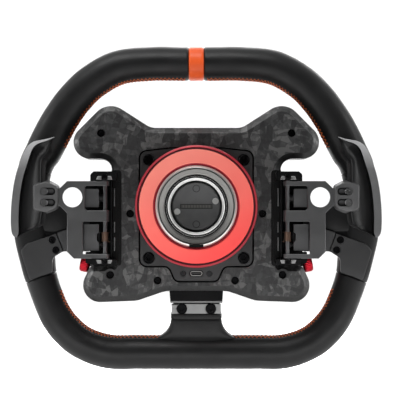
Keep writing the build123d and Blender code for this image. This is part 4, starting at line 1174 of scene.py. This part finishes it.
def springs():
    """Torsion springs round the hinge pins, with one leg towards the bracket and one towards the tail."""
    steps = COIL_TURNS * 28
    low = SPRING_LOW + 0.6
    path = [(HINGE_X - 4.3, HINGE_Y + 4.6, low), (HINGE_X - 3.4, HINGE_Y + 2.4, low)]
    for step in range(steps + 1):
        angle = pi + 2 * pi * COIL_TURNS * step / steps
        rise = SPRING_LOW + 0.7 + (SPRING_LENGTH - 1.4) * step / steps
        path.append((HINGE_X + COIL_R * cos(angle), HINGE_Y - COIL_R * sin(angle), rise))
    top = SPRING_LOW + SPRING_LENGTH - 0.7
    path += [(HINGE_X - 3.2, HINGE_Y + 2.0, top), (HINGE_X - 3.7, HINGE_Y + 3.4, top)]
    points, faces = round_tube(path, WIRE_R, 8)
    add_pair("hinge_spring", points, faces, "spring", "wheel", "spring_wire", ["paddle_springs"])


ROLLER_CENTRE = (90.8, 52.5, -46.6)
ROLLER_TILT = radians(11)
ROLLER_RIDGES, RIDGE_HEIGHT = 26, 0.24
ROLLER_PROFILE = [  # along the axle, radius, share of the ridges' height
    (-4.0, 1.6, 0), (-4.0, 5.6, 0), (-3.7, 6.3, 0), (-3.2, 6.7, 0), (-2.9, 6.75, 0.1), (-2.4, 6.95, 1),
    (-1.2, 7.0, 1), (0, 7.0, 1), (1.2, 7.0, 1), (2.4, 6.95, 1), (2.9, 6.75, 0.1), (3.2, 6.7, 0),
    (3.7, 6.3, 0), (4.0, 5.6, 0), (4.0, 1.2, 0),
]


def rollers():
    """Knurled thumb rollers: rounded ridges along the axle, and a plain lip at each end."""
    around = ROLLER_RIDGES * 8
    out = np.array([cos(ROLLER_TILT), 0, sin(ROLLER_TILT)])
    up = np.array([-sin(ROLLER_TILT), 0, cos(ROLLER_TILT)])
    points = []
    for along, radius, ridge in ROLLER_PROFILE:
        for k in range(around):
            angle = 2 * pi * k / around
            height = radius + ridge * RIDGE_HEIGHT * (abs(cos(angle * ROLLER_RIDGES / 2)) ** 0.6 - 0.75)
            spoke = up * height * cos(angle) + BACK * height * sin(angle)
            points.append(np.array(ROLLER_CENTRE) + out * along + spoke)
    faces = tube_faces(len(ROLLER_PROFILE), around)
    add_pair("thumb_roller_skin", points, faces, "roller", "thumb_roller_{}", "red_metal",
             ["thumb_roller_{}"], 35)


def lathed(profile, around=144):
    """Closed ring through (radius, depth) points, turned about the spin axis."""
    turns = [2 * pi * k / around for k in range(around)]
    points = [(r * cos(a), y, r * sin(a)) for r, y in profile for a in turns]
    faces = []
    for row in range(len(profile)):
        low, high = row * around, (row + 1) % len(profile) * around
        for k in range(around):
            after = (k + 1) % around
            faces.append((low + k, low + after, high + after, high + k))
    return np.array(points), faces


SEAL = [
    (22.3, 0.4), (22.3, -1.9), (22.6, -2.3), (23.2, -2.4), (23.9, -2.8), (24.5, -3.1), (24.9, -3.0),
    (24.9, -1.6),
]
RACE = [(23.35, -1.8), (23.35, -2.75), (23.5, -2.95), (23.75, -2.95), (23.9, -2.75), (23.9, -1.8)]


def socket_rings():
    """Black seal in the socket's mouth, with a thin polished ring bedded in it."""
    seal = new_object("socket_seal", *lathed(SEAL), "seal", 40)
    add_piece(seal, "wheel", "black_plastic")
    race = new_object("socket_race", *lathed(RACE), "race", 40)
    add_piece(race, "wheel", "bright_steel")


TRAY = [(59.9, 29.2), (67.0, 29.2), (67.0, -47.6), (59.9, -47.6)]
TRAY_STEP = [(61.6, 27.8), (66.9, 27.8), (66.9, -46.2), (61.6, -46.2)]
TRAY_REAR = 24.9
CLAMP_REAR, CLAMP_FRONT = 7.9, 8.8
CLAMP_OUT = [(74.7, 0), (78.8, 0), (77.8, 1), (74.7, 1)]
CLAMP_IN = [(66.2, 0), (69.8, 0), (69.8, 1), (67.2, 1)]
CLAMP_Z = [(21.1, 23.8), (-42.3, -44.9)]
RIBS = [(14.5, 0.0), (-12.4, -20.8), (-24.6, -35.6)]
RIB_X = (64.9, 65.7)


def chamfered(outline, front, edge, rear, inset):
    """Plate from its front to its rear face, with a small chamfer behind its edge."""
    return stacked([(outline, front), (outline, edge), (offset_outline(outline, inset), rear)])


def bracket_trims():
    """Tray between the cover and each paddle bracket, the clamps on the hinge pin, and the tray's ribs."""
    outer, step = rounded(TRAY, 4.0), rounded(TRAY_STEP, 3.0)
    tray = joined([
        chamfered(outer, TRAY_REAR + 1.1, TRAY_REAR + 0.3, TRAY_REAR, 0.3),
        chamfered(step, TRAY_REAR + 0.5, TRAY_REAR - 0.5, TRAY_REAR - 0.75, 0.25),
    ])
    add_pair("bracket_tray", *tray, "seal", "wheel", "dark_metal", (), 40)
    clamps = []
    for near, far in CLAMP_Z:
        for corners in (CLAMP_OUT, CLAMP_IN):
            outline = rounded([(x, (near, far)[end]) for x, end in corners], 0.5)
            clamps.append(chamfered(outline, CLAMP_FRONT, CLAMP_REAR + 0.25, CLAMP_REAR, 0.25))
    add_pair("pin_clamps", *joined(clamps), "clamp", "wheel", "bright_steel", (), 40)
    ribs = []
    for high, low in RIBS:
        corners = [(RIB_X[0], high), (RIB_X[1], high), (RIB_X[1], low), (RIB_X[0], low)]
        ribs.append(chamfered(rounded(corners, 0.3), TRAY_REAR, TRAY_REAR - 1.3, TRAY_REAR - 1.45, 0.12))
    add_pair("tray_ribs", *joined(ribs), "clamp", "wheel", "bright_steel", (), 40)


studio()
dress_nodes()
leather_rim()
side_grips()
blades()
springs()
rollers()
socket_rings()
bracket_trims()
